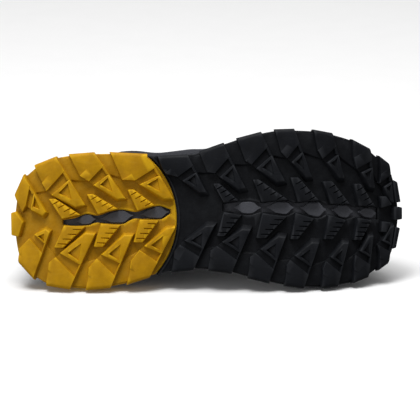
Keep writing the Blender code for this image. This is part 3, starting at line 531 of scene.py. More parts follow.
def seam_zone(shift):
    """Plan outline of everything in front of the seam, moved by a shift."""
    arc = seam_arc(SEAM_RADIUS + shift, SEAM_SPAN, SEAM_STEPS)
    wide = SOLE_LENGTH / 2
    far = SOLE_LENGTH + wide
    return np.vstack(((arc[0][0], -wide), arc, (arc[-1][0], wide), (far, wide), (far, -wide)))


def add_lip(bm):
    """Low lip on the black side of the seam."""
    inner = seam_arc(SEAM_RADIUS - LIP_WIDE, LIP_SPAN, LIP_STEPS)
    outer = seam_arc(SEAM_RADIUS + SEAM_GAP + LIP_WIDE, LIP_SPAN, LIP_STEPS)
    outline = np.vstack((inner, outer[::-1]))
    add_stack(bm, ((outline, LIP_HEIGHT), (outline, -LUG_ROOT)))


def add_slab(bm, side, corners):
    """Outer slab of a bar: flat top, rolled outer end, and a low facet behind a wedge at its inner back."""
    front, notch, apex, shoulder, back = corners
    heel_of_wedge = shoulder + (back - shoulder) * WEDGE_FROM[side]
    channel = notch - apex
    wedge_end = heel_of_wedge + channel * min(WEDGE_LONG[side] / np.linalg.norm(channel), WEDGE_MOST)
    fold = toward(back, shoulder, FOLD)

    def ring(points, depth):
        return [bm.verts.new((x, y, -depth)) for x, y in points]

    rolls = [
        ring((toward(back, shoulder, inward), toward(front, notch, inward)), LUG_DEPTH - drop)
        for inward, drop in ROLL_STEPS
    ]
    inner = ring((notch, apex, shoulder) if WEDGE_FROM[side] else (notch, apex), LUG_DEPTH)
    crest, end, low_end = ring((heel_of_wedge, wedge_end, fold), LUG_DEPTH)
    cut = ring((heel_of_wedge,), LUG_DEPTH - WEDGE_DROP[side])[0]
    back_side, front_side = zip(*rolls[1:])
    foot = grown(corners, LUG_DRAFT)
    along = toward(back, front, 1.0) - back
    for at in (0, -1):
        foot[at] = corners[at] + along * np.dot(foot[at] - corners[at], along)
    root = ring(foot, -LUG_ROOT)
    if WEDGE_FROM[side]:
        inner_side = (inner[1], inner[2], root[3], root[2])
        back_start = (inner[2], crest, cut)
    else:
        inner_side = (inner[1], crest, cut, root[3], root[2])
        back_start = (cut,)
    for face in (
        (*rolls[0], *inner, crest, end, low_end),
        *((*upper, *lower[::-1]) for upper, lower in zip(rolls, rolls[1:])),
        (end, crest, cut),
        (end, cut, low_end),
        (rolls[0][1], inner[0], root[1], root[0], *front_side[::-1]),
        (inner[0], inner[1], root[2], root[1]),
        inner_side,
        (*back_start, low_end, rolls[0][0], *back_side, root[4], root[3]),
        (*rolls[-1], root[0], root[4]),
        root,
    ):
        bm.faces.new(face)


def window_edges(window):
    """Smooth x, lateral edge and medial edge of a window."""
    table = np.array(window)
    x = np.linspace(table[0, 0], table[-1, 0], WINDOW_STEPS)
    return x, *(smooth_curve(table[:, 0], table[:, at], False)(x) for at in (1, 2))


def band(x, low, high):
    """Plan outline between two edges."""
    return np.vstack((np.column_stack((x, low)), np.column_stack((x, high))[::-1]))


def blade_plan(row, window):
    """Side and plan outline of one blade: outer back, outer front, inner front, inner back."""
    blade = dict(zip(BLADE_COLUMNS, row))
    side = "lat" if blade["outer_y"] < 0 else "med"
    x, *edges = window_edges(window)
    edge = edges[0 if side == "lat" else 1] + SIDE_SIGN[side] * BLADE_MARGIN
    inner = [(at, np.interp(at, x, edge)) for at in (blade["inner_front_x"], blade["inner_back_x"])]
    outer = [(blade["outer_x"] + shift, blade["outer_y"]) for shift in (0.0, blade["outer_wide"])]
    return side, flat_of_tip(outer + inner)


def new_tree(name, kind, inputs, outputs):
    """Node group with named sockets, and the sockets of its two end nodes."""
    tree = bpy.data.node_groups.new(name, kind)
    for in_out, sockets in (("INPUT", inputs), ("OUTPUT", outputs)):
        for label, socket in sockets.items():
            tree.interface.new_socket(label, in_out=in_out, socket_type="NodeSocket" + socket)
    return tree, tree.nodes.new("NodeGroupInput").outputs, tree.nodes.new("NodeGroupOutput").inputs


def node(tree, kind, values, output=0, **settings):
    """One output of a new node, with its settings made and its inputs set to values or linked to sockets."""
    made = tree.nodes.new(kind)
    for key, setting in settings.items():
        setattr(made, key, setting)
    for key, value in values.items():
        if isinstance(value, bpy.types.NodeSocket):
            tree.links.new(value, made.inputs[key])
        else:
            made.inputs[key].default_value = value
    return made.outputs[output]


def row_tree(name, sizes):
    """Tree that lays copies of a shape along a mesh's edges, its end sockets, and the edges as a curve."""
    kinds = {"Geometry": "Geometry", "Shape": "Object", "Material": "Material", **sizes}
    tree, start, end = new_tree(name, "GeometryNodeTree", kinds, {"Geometry": "Geometry"})
    return tree, start, end, node(tree, "GeometryNodeMeshToCurve", {"Mesh": start["Geometry"]})


def vector_attribute(tree, name):
    """Vector that each point of the mesh carries."""
    named = {"Name": name}
    return node(tree, "GeometryNodeInputNamedAttribute", named, "Attribute", data_type="FLOAT_VECTOR")


def lay_copies(tree, start, end, places):
    """Copies of the shape at their places, made real and painted."""
    shape = node(tree, "GeometryNodeObjectInfo", {"Object": start["Shape"]}, "Geometry")
    copies = node(tree, "GeometryNodeInstanceOnPoints", {**places, "Instance": shape})
    plain = node(tree, "GeometryNodeRealizeInstances", {"Geometry": copies})
    smooth = node(tree, "GeometryNodeSetShadeSmooth", {"Geometry": plain})
    painted = node(tree, "GeometryNodeSetMaterial", {"Geometry": smooth, "Material": start["Material"]})
    tree.links.new(painted, end["Geometry"])
    return tree


def run_nodes(name, places, links, vectors, tree, values):
    """Object that a geometry tree with named inputs makes of edges and their vectors, as a plain mesh."""
    mesh = bpy.data.meshes.new(name)
    mesh.from_pydata(np.array(places).tolist(), links, [])
    for label, rows in vectors.items():
        mesh.attributes.new(label, "FLOAT_VECTOR", "POINT").data.foreach_set("vector", np.array(rows).ravel())
    item = linked(name, mesh)
    modifier = item.modifiers.new(tree.name, "NODES")
    modifier.node_group = tree
    for socket in tree.interface.items_tree:
        if socket.in_out == "INPUT" and socket.name in values:
            modifier[socket.identifier] = values[socket.name]
    bake(item)
    bpy.data.objects.remove(values["Shape"])
    return item


def sipe_tree():
    """Cutters spread along the front edge of each blade: turned, and as long as the blade asks."""
    tree, start, end, curve = row_tree("sipe_row", {"Count": "Int", "Start": "Float", "End": "Float"})
    part = node(tree, "GeometryNodeTrimCurve", {"Curve": curve, "Start": start["Start"], "End": start["End"]})
    return lay_copies(tree, start, end, {
        "Points": node(tree, "GeometryNodeResampleCurve", {"Curve": part, "Count": start["Count"]}),
        "Rotation": vector_attribute(tree, "turn"),
        "Scale": vector_attribute(tree, "size"),
    })


SIPE_TREE = sipe_tree()


def sipe_cutters(blades, material):
    """One object of small wedge cutters, a row along the front edge of each blade."""
    rings = []
    for x, wide, deep in (
        (SIPE_START_X, SIPE_WIDE, SIPE_DEEP), (1.0, SIPE_WIDE * SIPE_END_SHARE, SIPE_END_DEEP),
    ):
        half = wide / 2 * (deep + SIPE_OVER) / deep
        rings.append(((x, -half, -SIPE_OVER), (x, half, -SIPE_OVER), (x, 0.0, deep)))
    wedge = bmesh.new()
    add_tube(wedge, rings)
    places, turns, sizes = [], [], []
    for side, outline in blades:
        for corner in outline[1:3]:
            places.append((*corner, -LUG_DEPTH))
            turns.append((0.0, 0.0, SIPE_TURN[side]))
            sizes.append((SIPE_LONG[side], 1.0, 1.0))
    links = [(at, at + 1) for at in range(0, len(places), 2)]
    return run_nodes("sipe_rows", places, links, {"turn": turns, "size": sizes}, SIPE_TREE, {
        "Shape": new_object("sipe_wedge", wedge), "Count": SIPE_COUNT, "Start": SIPE_START, "End": SIPE_END,
        "Material": material,
    })


def points_of(item):
    """Places of an object's vertices."""
    return np.array([vert.co for vert in item.data.vertices])


def settle(item, points):
    """Move an object's vertices from the last to the lying shoe, none of them under the floor."""
    places = in_place(points)
    places[:, 2] = places[:, 2].clip(0)
    item.data.vertices.foreach_set("co", places.ravel())


def shade(item, sharp):
    """Smooth shading with sharp creases."""
    item.data.shade_smooth()
    item.data.set_sharp_from_angle(angle=np.radians(sharp))


def paint(item, material):
    """One material for a whole object."""
    item.data.materials.clear()
    item.data.materials.append(material)


def mend(bm):
    """Collapse the short edges that a Boolean leaves open or shared by more than two faces."""
    for _ in range(MEND_ROUNDS):
        bad = [edge for edge in bm.edges if len(edge.link_faces) != 2 and edge.calc_length() < SHORT]
        bmesh.ops.collapse(bm, edges=bad)
        bmesh.ops.dissolve_degenerate(bm, edges=bm.edges, dist=MERGE)


def keep_main(item):
    """Keep the largest surface: a union can leave tiny sealed voids between overlapping lugs."""
    bm = bmesh.new()
    bm.from_mesh(item.data)
    bmesh.ops.remove_doubles(bm, verts=bm.verts, dist=MERGE)
    mend(bm)
    left = set(bm.verts)
    islands = []
    while left:
        front = [left.pop()]
        island = list(front)
        while front:
            beside = [edge.other_vert(vert) for vert in front for edge in vert.link_edges]
            front = list(left.intersection(beside))
            left.difference_update(front)
            island.extend(front)
        islands.append(island)
    islands.sort(key=len)
    for island in islands[:-1]:
        bmesh.ops.delete(bm, geom=island, context="VERTS")
    bm.to_mesh(item.data)
    bm.free()


def rounded(name, bm, width):
    """Object of lugs with their edges rounded."""
    item = new_object(name, bm)
    rounding = item.modifiers.new("rounding", "BEVEL")
    rounding.limit_method = "ANGLE"
    rounding.angle_limit = EDGE_ANGLE
    rounding.width = width
    rounding.segments = EDGE_SEGMENTS
    bake(item)
    return item


def crest_of(bm):
    """How far each vertex stands out of its neighbours: 0 on a flat, more on an edge."""
    crest = []
    for vert in bm.verts:
        ways = [(vert.co - edge.other_vert(vert).co).normalized() for edge in vert.link_edges]
        crest.append(np.mean([way.dot(vert.normal) for way in ways]))
    return np.array(crest)


def within(points, outline):
    """Which plan points lie inside a convex outline."""
    along = np.roll(outline, -1, axis=0) - outline
    away = points[:, None] - outline
    turn = along[:, 0] * away[..., 1] - along[:, 1] * away[..., 0]
    return (turn > 0).all(axis=1) | (turn < 0).all(axis=1)


def outsole(name, bars, blades, blocks, ribs, window, front, material):
    """One outsole piece: laid out flat, joined, cut at the seam, sliced and bent."""
    rim = sole_rim()
    base = bmesh.new()
    add_stack(base, (
        (grown(rim, -RIM_ROUND), 0.0), (grown(rim, -RIM_SOFT), -RIM_SOFT),
        (rim, -RIM_ROUND), (grown(rim, -RIM_LEAN), -RIM_HEIGHT),
    ))
    item = new_object(name, base)
    inside = grown(rim, -RIM_LEAN - RIM_WALL)
    combine_stack(item, ((inside, -SKIN), (inside, -RIM_HEIGHT - CUT_OVER)), "DIFFERENCE")
    slot = band(*window_edges(window))
    combine_stack(item, (
        (slot, -SKIN - CUT_OVER), (slot, -WINDOW_FLARE), (grown(slot, WINDOW_FLARE), 0.0),
        (grown(slot, 2 * WINDOW_FLARE), WINDOW_FLARE),
    ), "DIFFERENCE")

    slabs, lugs, low, pockets = (bmesh.new() for _ in range(4))
    for side, rows in bars.items():
        bar_plans = [bar_plan(side, row) for row in rows]
        for plan in bar_plans:
            add_slab(slabs, side, plan["slab"])
            add_frame(lugs, plan["frame"], FORE_END_DRAFT if front else HEEL_END_DRAFT)
            add_lug(low, plan["web"], WEB_HEIGHT)
            add_lug(low, plan["strip"], LUG_DEPTH - STRIP_DROP)
            add_stack(low, ((plan["rib"], LUG_ROOT), (plan["rib"], -RIB_TOP)))
            add_stack(pockets, (
                (grown(plan["pocket"], -POCKET_DRAFT), LUG_DEPTH - np.array(POCKET_DEEP)),
                (plan["pocket"], LUG_DEPTH - LUG_EDGE),
                (grown(plan["pocket"], 2 * LUG_EDGE), LUG_DEPTH + LUG_EDGE),
            ))
        for behind, before in zip(bar_plans, bar_plans[1:]):
            add_shelf(low, side, behind, before)
    if front:
        add_lip(low)
    plans = [blade_plan(row, window) for row in blades]
    for outline in [corners for _, corners in plans] + [flat_of_tip(block) for block in blocks]:
        add_lug(lugs, outline, LUG_DEPTH)
    for rib in ribs:
        add_stack(low, ((flat_of_tip(rib), LUG_ROOT), (flat_of_tip(rib), -RIB_TOP)))
    tread = bmesh.new()
    for label, group, width in (
        ("slabs", slabs, SLAB_EDGE), ("lugs", lugs, LUG_EDGE), ("low_lugs", low, LOW_EDGE),
    ):
        part = rounded(label, group, width)
        tread.from_mesh(part.data)
        bpy.data.objects.remove(part)
    combine(item, new_object("tread", tread), "UNION")
    keep_main(item)
    combine(item, new_object("pockets", pockets), "DIFFERENCE")
    combine(item, sipe_cutters(plans, material), "DIFFERENCE")
    deep = RIM_HEIGHT + 2 * CUT_OVER
    chamfer = SEAM_CHAMFER if front else -SEAM_CHAMFER
    shift = SEAM_GAP if front else 0.0
    combine_stack(item, (
        (seam_zone(shift), -deep), (seam_zone(shift), -SEAM_CHAMFER), (seam_zone(shift + chamfer), 0.0),
        (seam_zone(shift + 2 * chamfer), deep),
    ), "INTERSECT" if front else "DIFFERENCE")
    keep_main(item)

    form = bmesh.new()
    form.from_mesh(item.data)
    for x in np.arange(SLICE_FIRST, SOLE_LENGTH, SLICE_STEP):
        everything = list(form.verts) + list(form.edges) + list(form.faces)
        bmesh.ops.bisect_plane(form, geom=everything, plane_co=(x, 0, 0), plane_no=(1, 0, 0))
    bmesh.ops.triangulate(form, faces=form.faces)
    mend(form)
    form.normal_update()
    crest = crest_of(form)
    form.to_mesh(item.data)
    form.free()
    flat = points_of(item)
    # Relief feeds the rubber's painted valley shade and crest its painted edge highlight; crest is left out
    # inside the blades, so the sipes take no highlight.
    for _, corners in plans:
        crest[within(flat[:, :2], grown(corners, -SIPE_FREE))] = 0.0
    for label, values in (("relief", -flat[:, 2] / LUG_DEPTH), ("crest", crest)):
        item.data.attributes.new(label, "FLOAT", "POINT").data.foreach_set("value", values)
    settle(item, bend(flat))
    shade(item, SHARP_ANGLE)
    paint(item, material)
    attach(item, "root")
    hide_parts(name.replace("_look", ""))
    return item


def maths(tree, operation, *values):
    """Math node on values or sockets."""
    return node(tree, "ShaderNodeMath", dict(enumerate(values)), operation=operation)


def stretched(tree, value, low=0.0, high=1.0, to_low=0.0, to_high=1.0, **settings):
    """Value stretched from one range to another."""
    return node(tree, "ShaderNodeMapRange", {
        "Value": value, "From Min": low, "From Max": high, "To Min": to_low, "To Max": to_high,
    }, **settings)


def noise(tree, place, scale, detail, rough=0.5):
    """Cloudy noise from 0 to 1."""
    sizes = {"Vector": place, "Scale": scale, "Detail": detail, "Roughness": rough}
    return node(tree, "ShaderNodeTexNoise", sizes)


def blend_colour(tree, factor, *colours):
    """Colour mix of two colours or sockets by a factor."""
    first, second = ((*colour, 1.0) if isinstance(colour, tuple) else colour for colour in colours)
    return node(tree, "ShaderNodeMix", {0: factor, 6: first, 7: second}, 2, data_type="RGBA")


def end_tree(tree, end, sockets):
    """Tree with its outputs linked."""
    for label, socket in sockets.items():
        tree.links.new(socket, end[label])
    return tree


def new_material(name, constants):
    """Node material with constants set on its shader, and its tree."""
    material = bpy.data.materials.new(name)
    material.use_nodes = True
    for label, value in constants.items():
        material.node_tree.nodes["Principled BSDF"].inputs[label].default_value = value
    return material, material.node_tree


def dressed(material, sockets, height=None, strength=1.0, distance=0.0003):
    """Material with its shader's inputs linked, and its bump where it has a height."""
    tree = material.node_tree
    if height is not None:
        bump = {"Height": height, "Strength": strength, "Distance": distance}
        sockets["Normal"] = node(tree, "ShaderNodeBump", bump)
    end_tree(tree, tree.nodes["Principled BSDF"].inputs, sockets)
    return material


def rubber_skin():
    """Effect group: mould texture, mottle, scuffs on the tips and dust in the valleys of a rubber tread, with
    a tip mask for painted shade in the valleys and an edge mask for painted highlights with wear.
    """
    labels = ("Tip", "Mottle", "Scuff", "Dust", "Wear_And_Highlight", "Height")
    inputs = {"Relief": "Float", "Crest": "Float"}
    tree, start, end = new_tree("rubber_skin", "ShaderNodeTree", inputs, dict.fromkeys(labels, "Float"))
    place = node(tree, "ShaderNodeTexCoord", {}, "Object")
    # Tip mask: lug tips take the lighter colour, flanks and valleys the darker one, which paints shade into
    # the recesses.
    tip = stretched(tree, start["Relief"], low=0.02, high=0.85, interpolation_type="SMOOTHSTEP")
    mottle = noise(tree, place, scale=70.0, detail=6.0, rough=0.65)
    grain = noise(tree, place, scale=1500.0, detail=3.0, rough=0.6)
    streaks = {"Vector": place, "Scale": (120.0, 900.0, 900.0), "Rotation": (0.3, 0.2, 0.5)}
    streak = noise(tree, node(tree, "ShaderNodeMapping", streaks), scale=1.0, detail=4.0)
    scuff = maths(tree, "MULTIPLY", stretched(tree, streak, low=0.56, high=0.72), tip)
    valley = maths(tree, "SUBTRACT", 1.0, tip)
    patch = noise(tree, place, scale=190.0, detail=5.0, rough=0.7)
    dust = maths(tree, "MULTIPLY", stretched(tree, patch, low=0.42, high=0.72), valley)
    dots = node(tree, "ShaderNodeTexVoronoi", {"Vector": place, "Scale": 1050.0, "Randomness": 0.25})
    height = maths(tree, "MULTIPLY_ADD", maths(tree, "MULTIPLY", dots, valley), -0.9, grain)
    # Edge mask: the sharpest crests and rims take a lighter colour, a painted highlight with some wear.
    wear_and_highlight = maths(tree, "MULTIPLY", stretched(tree, start["Crest"], low=0.08, high=0.2), mottle)
    return end_tree(tree, end, dict(zip(labels, (tip, mottle, scuff, dust, wear_and_highlight, height))))


RUBBER_SKIN = rubber_skin()


def moulded_rubber(name, tip, dark, valley, dust, lit_worn_edge, rough, sheen):
    """Matte rubber: lug tips clean and lighter, flanks and valleys darker as painted shade with some dirt,
    dust in the valleys, painted highlights with wear along the edges, a fine mould grain.
    """
    material, tree = new_material(name, {"Specular IOR Level": sheen})
    skin = node(tree, "ShaderNodeGroup", {}, node_tree=RUBBER_SKIN).node
    for label in ("Relief", "Crest"):
        shape = node(tree, "ShaderNodeAttribute", {}, "Fac", attribute_name=label.lower())
        tree.links.new(shape, skin.inputs[label])
    mask = skin.outputs
    # Valleys and flanks darker than the tips: painted shade in the recesses, with some dirt.
    ground = blend_colour(tree, mask["Tip"], valley, tip)
    uneven = stretched(tree, mask["Mottle"], low=0.38, high=0.66, to_high=0.7)
    ground = blend_colour(tree, uneven, ground, dark)
    for label, share in (("Scuff", 0.25), ("Dust", 0.4)):
        ground = blend_colour(tree, maths(tree, "MULTIPLY", mask[label], share), ground, dust)
    # Lighter colour along the edges: painted highlight, with wear.
    ground = blend_colour(tree, mask["Wear_And_Highlight"], ground, lit_worn_edge)
    gloss = stretched(tree, mask["Mottle"], to_low=rough - 0.12, to_high=rough + 0.14)
    return dressed(material, {"Base Color": ground, "Roughness": gloss}, mask["Height"], strength=0.35)


# In both rubbers the colour for worn edges is lighter than the tip colour: painted highlight along the edges,
# with wear.
# In both rubbers the valley colour is darker than the tip colour: painted shade in the recesses, with some
# dirt.
YELLOW_RUBBER = moulded_rubber(
    "heel_rubber_yellow", tip=(0.53, 0.27, 0.002), dark=(0.32, 0.15, 0.001), valley=(0.42, 0.205, 0.001),
    dust=(0.52, 0.30, 0.03), lit_worn_edge=(0.85, 0.50, 0.01), rough=0.58, sheen=0.14,
)
BLACK_RUBBER = moulded_rubber(
    "forefoot_rubber_black", tip=(0.0085, 0.0095, 0.012), dark=(0.005, 0.0055, 0.007),
    valley=(0.005, 0.0055, 0.007), dust=(0.018, 0.020, 0.023), lit_worn_edge=(0.034, 0.036, 0.041),
    rough=0.52, sheen=0.11,
)
heel = outsole(
    "outsole_heel_look", HEEL_BARS, HEEL_BLADES, HEEL_BLOCKS, HEEL_RIBS, HEEL_WINDOW, False, YELLOW_RUBBER,
)
forefoot = outsole(
    "outsole_forefoot_look", FORE_BARS, FORE_BLADES, FORE_BLOCKS, FORE_RIBS, FORE_WINDOW, True, BLACK_RUBBER,
)

# Midsole: one moulding of grey-black foam between the rubber and the upper, with a groove round its side
# and raised pads that fill the windows of the tread. Its tray is cemented into the outsole's rim.
BED_KNOTS = (0.0, 60.0, 120.0, 175.0, 255.0)
BED_STACK = (26.0, 25.5, 21.5, 16.5, 14.5)
BED = smooth_curve(BED_KNOTS, BED_STACK, True)
MIDSOLE_LEDGE = 2.4
SIDE_PART = (0.0, 0.15, 0.42, 0.50, 0.58, 0.80, 1.0)
SIDE_SWELL = (0.0, 1.1, 1.1, 0.0, 0.9, 0.5, 0.0)
SIDE_LEVELS = np.concatenate([
    np.linspace(*span) for span in ((0.04, 0.4, 8), (0.43, 0.6, 12), (0.65, 0.96, 7))
])
FLARE_X = (60.0, 72.0, 84.0, 95.0, 106.0, 116.0, 126.0, 134.0)
FLARE_OUT = (0.0, 3.5, 4.2, 3.9, 4.6, 5.0, 3.0, 0.0)
PAD_ROWS = (
    (43.5, 55.6, HEEL_WINDOW), (58.8, 80.0, HEEL_WINDOW), (84.4, 103.0, HEEL_WINDOW),
    (145.0, 162.4, FORE_WINDOW), (166.6, 183.6, FORE_WINDOW), (188.4, 204.6, FORE_WINDOW),
    (209.0, 222.0, FORE_WINDOW), (226.0, 237.2, FORE_WINDOW),
)
PAD_MARGIN = 0.5
PAD_BACK_TAPER = 3.2
PAD_FRONT_TAPER = 4.4
PAD_BLUNT = 0.22
PAD_RINGS = ((1.0, -SKIN - 1.5), (1.0, -0.7), (0.93, -0.2), (0.84, 0.2))
PAD_STEPS = 17


def bed_height(x):
    """Top of the midsole at x."""
    return toe_spring(x) + BED(x)


def add_ladder(bm, rings):
    """Closed stack of rings of points, with ladder faces across the first and the last one."""
    rows = add_rings(bm, rings)
    count = len(rows[0])
    for row in (rows[0], rows[-1]):
        for at in range(count // 2):
            corners = (row[at], row[at + 1], row[(count - at - 1) % count], row[(count - at) % count])
            bm.faces.new(tuple(dict.fromkeys(corners)))


def add_pad(bm, back_x, front_x, window):
    """Lozenge of foam that stands in one bulge of a window, highest along its middle."""
    x, lateral, medial = window_edges(window)
    part = np.linspace(0, 1, PAD_STEPS)
    along = back_x + (front_x - back_x) * part
    low = np.interp(along, x, lateral) + PAD_MARGIN
    high = np.interp(along, x, medial) - PAD_MARGIN
    taper = np.clip(np.minimum(part * PAD_BACK_TAPER, (1 - part) * PAD_FRONT_TAPER), PAD_BLUNT, 1)
    middle, half = (low + high) / 2, (high - low) / 2 * taper
    add_stack(bm, [
        (band(along, middle - half * shrink, middle + half * shrink), depth) for shrink, depth in PAD_RINGS
    ])


def moulded_foam(name, light, dark):
    """Matte foam with closed cells, speckle and faint flow marks."""
    material, tree = new_material(name, {})
    place = node(tree, "ShaderNodeTexCoord", {}, "Object")
    cells = node(tree, "ShaderNodeTexVoronoi", {"Vector": place, "Scale": 900.0})
    speckle = noise(tree, place, scale=260.0, detail=5.0, rough=0.7)
    height = maths(tree, "MULTIPLY_ADD", speckle, 0.6, cells)
    return dressed(material, {
        "Base Color": blend_colour(tree, stretched(tree, speckle, low=0.3, high=0.7), dark, light),
        "Roughness": stretched(tree, speckle, to_low=0.6, to_high=0.85),
    }, height, strength=0.3)


GREY_FOAM = moulded_foam("midsole_foam_grey", (0.062, 0.065, 0.077), (0.048, 0.050, 0.061))
edge = sole_rim()
feather = grown(loop_of("feather", SOLE_T), MIDSOLE_LEDGE)
rim_inside = grown(edge, -RIM_LEAN - RIM_WALL - GAP)
bottom, tray, ledge = (
    bend(np.column_stack((outline, np.full(len(edge), up))))
    for outline, up in (
        (rim_inside, SKIN + GAP), (rim_inside, RIM_HEIGHT + GAP), (grown(edge, -RIM_LEAN), RIM_HEIGHT + GAP),
    )
)
top = np.column_stack((feather, bed_height(feather[:, 0])))
outward = np.column_stack((grown(edge, 1.0) - edge, np.zeros(len(edge))))
flare = smooth_curve(FLARE_X, FLARE_OUT, True)(edge[:, 0]) * (edge[:, 1] < 0)
swell = smooth_curve(SIDE_PART, SIDE_SWELL, False)
walls = [
    ledge + (top - ledge) * part + outward * (swell(part) + flare * (1 - part))[:, None]
    for part in SIDE_LEVELS
]
foam = bmesh.new()
add_ladder(foam, (bottom, tray, ledge, *walls, top))
midsole = new_object("midsole_look", foam)
pads = bmesh.new()
for row in PAD_ROWS:
    add_pad(pads, *row)
for vert, place in zip(pads.verts, bend([vert.co for vert in pads.verts])):
    vert.co = place
combine(midsole, new_object("window_pads", pads), "UNION")
keep_main(midsole)
settle(midsole, points_of(midsole))
shade(midsole, SHARP_ANGLE)
paint(midsole, GREY_FOAM)
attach(midsole, "root")
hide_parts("midsole")

# Upper: a lasted shell of dark woven fabric with smooth bonded overlays at rand, toe cap, heel counter and
# eyestay, a padded collar and a knit lining. It is glued down to the midsole along its feather edge.
WALL = 1.8
COLLAR_WALL = 3.0
COLLAR_STEP_T = 0.2
COLLAR_STEP_V = 0.04
OVERLAY = 0.8
BOXINESS = 0.88
RAND_V = 0.2
CAP_V = 0.62
STAY_V = 0.8
COUNTER_T = 3.25
THROAT_TOP_T = 6.8
THROAT_FRONT_T = 10.0
STAY_END_T = 10.3
CAP_T = 12.75
EYELET_T = (7.2, 7.85, 8.5, 9.1, 9.6)
EYELET_V = 0.91
EYELET_RADIUS = 2.2
EYELET_SIDES = 20
PUNCH = 5.0
FOLD_V = 0.009
FOLD_T = 0.035
FOLD_SHIFTS = (-1, -0.4, 0.4, 1)
COLLAR_PUFF = 1.3
PUFF_V = 0.78
PUFF_HIGH = 0.22
PUFF_FADE_T = 0.35
# Creases across the vamp: middle, lean, half width, depth
CREASES = (
    (10.75, 0.25, 0.17, 0.55), (11.3, 0.12, 0.20, 0.8), (11.95, -0.05, 0.18, 0.6), (12.4, -0.12, 0.14, 0.35),
)
CREASE_LOW_V = 0.38
CREASE_FADE_V = 0.2
CREASE_WELT = 0.45
WELT_OFF = 1.6
SAG = 0.7
SAG_T = 6.0
SAG_V = 0.55
SAG_LONG = 0.9
SAG_HIGH = 0.14
STEPS_T = 193
STEPS_V = 57
LINING_STEPS = 25
RIM_TURNS = np.radians((30, 60, 90, 120, 150))
GIRTH_ROW = 20
END_V = 0.001
FABRIC_SHEEN = 0.08
FABRIC_BUMP = 0.0004


def seat_height(x):
    """Bottom of the upper at x, clear of the bed under its overlays."""
    return np.maximum(bed_height(x - OVERLAY), bed_height(x + OVERLAY)) + GAP


def unit(vectors):
    """Vectors of length one."""
    return vectors / np.linalg.norm(vectors, axis=-1)[..., None]


def shell_point(side, t, v):
    """Point of the last's surface: section t from heel to toe, v from feather edge to top line."""
    t, v = np.broadcast_arrays(np.asarray(t, float), np.asarray(v, float))
    low_x = LAST["feather_x"](t)
    foot = np.stack((low_x, LAST["feather_" + side](t), seat_height(low_x)), -1)
    crest = np.stack((LAST["top_x"](t), LAST["top_" + side](t), LAST["top_z"](t)), -1)
    dome = LAST["dome"](t)
    run = (1 - dome) * v + dome * (1 - np.cos(v * np.pi / 2).clip(0) ** BOXINESS)
    rise = (1 - dome) * v + dome * np.sin(v * np.pi / 2) ** BOXINESS
    share = np.stack((run, run, rise), -1)
    early, late = np.clip(t - SPAN, 0, LAST_T), np.clip(t + SPAN, 0, LAST_T)
    along_x, along_y = (LAST[name](late) - LAST[name](early) for name in ("feather_x", "feather_" + side))
    out = unit(np.stack((-along_y, along_x, np.zeros_like(t)), -1) * SIDE_SIGN[side])
    bulge = LAST["bulge"](t) * np.sin(v * np.pi)
    return foot + (crest - foot) * share + out * bulge[..., None]


def shell_normal(side, t, v):
    """Outward normal of the last's surface."""
    t, v = np.broadcast_arrays(np.asarray(t, float), np.asarray(v, float))
    early, late = np.clip(t - SPAN, 0, LAST_T), np.clip(t + SPAN, 0, LAST_T)
    low, high = np.clip(v - SPAN, END_V, 1), np.clip(v + SPAN, 0, 1 - END_V)
    along = shell_point(side, late, v) - shell_point(side, early, v)
    up = shell_point(side, t, high) - shell_point(side, t, low)
    return unit(np.cross(up, along) * SIDE_SIGN[side])


def over_shell(side, t, v, lift):
    """Point at a height over the last's surface."""
    return shell_point(side, t, v) + shell_normal(side, t, v) * np.asarray(lift)[..., None]


def step_up(value, middle, half):
    """Smooth step from 0 to 1 about a middle."""
    part = np.clip((value - middle) / (2 * half) + 0.5, 0, 1)
    return part * part * (3 - 2 * part)


def overlay_mask(t, v):
    """1 on rand, toe cap, heel counter and eyestay, 0 on the bare fabric."""
    low = 1 - step_up(v, RAND_V, FOLD_V)
    below_cap = 1 - step_up(v, CAP_V, FOLD_V)
    cap = step_up(t, CAP_T, FOLD_T) * below_cap
    counter = (1 - step_up(t, COUNTER_T, FOLD_T)) * below_cap
    behind_end = 1 - step_up(t, STAY_END_T, FOLD_T)
    stay = step_up(t, THROAT_TOP_T, FOLD_T) * behind_end * step_up(v, STAY_V, FOLD_V)
    return np.max((low, cap, counter, stay), axis=0)


def crease_height(t, v):
    """Soft troughs where the vamp flexes, a slack hollow under the ankle and the padded collar's puff."""
    height = np.zeros_like(t)
    fade = step_up(v, CREASE_LOW_V + CREASE_FADE_V, CREASE_FADE_V)
    for middle, lean, half_wide, deep in CREASES:
        off = (t - middle - lean * (1 - v)) / half_wide
        welt = CREASE_WELT * np.exp(-((np.abs(off) - WELT_OFF) ** 2))
        height = height + deep * fade * (welt - np.exp(-off * off))
    height = height - SAG * np.exp(-(((t - SAG_T) / SAG_LONG) ** 2) - ((v - SAG_V) / SAG_HIGH) ** 2)
    collar = 1 - step_up(t, THROAT_TOP_T - PUFF_FADE_T, PUFF_FADE_T)
    return height + COLLAR_PUFF * collar * np.sin(np.pi * np.clip((v - PUFF_V) / PUFF_HIGH, 0, 1)) ** 2


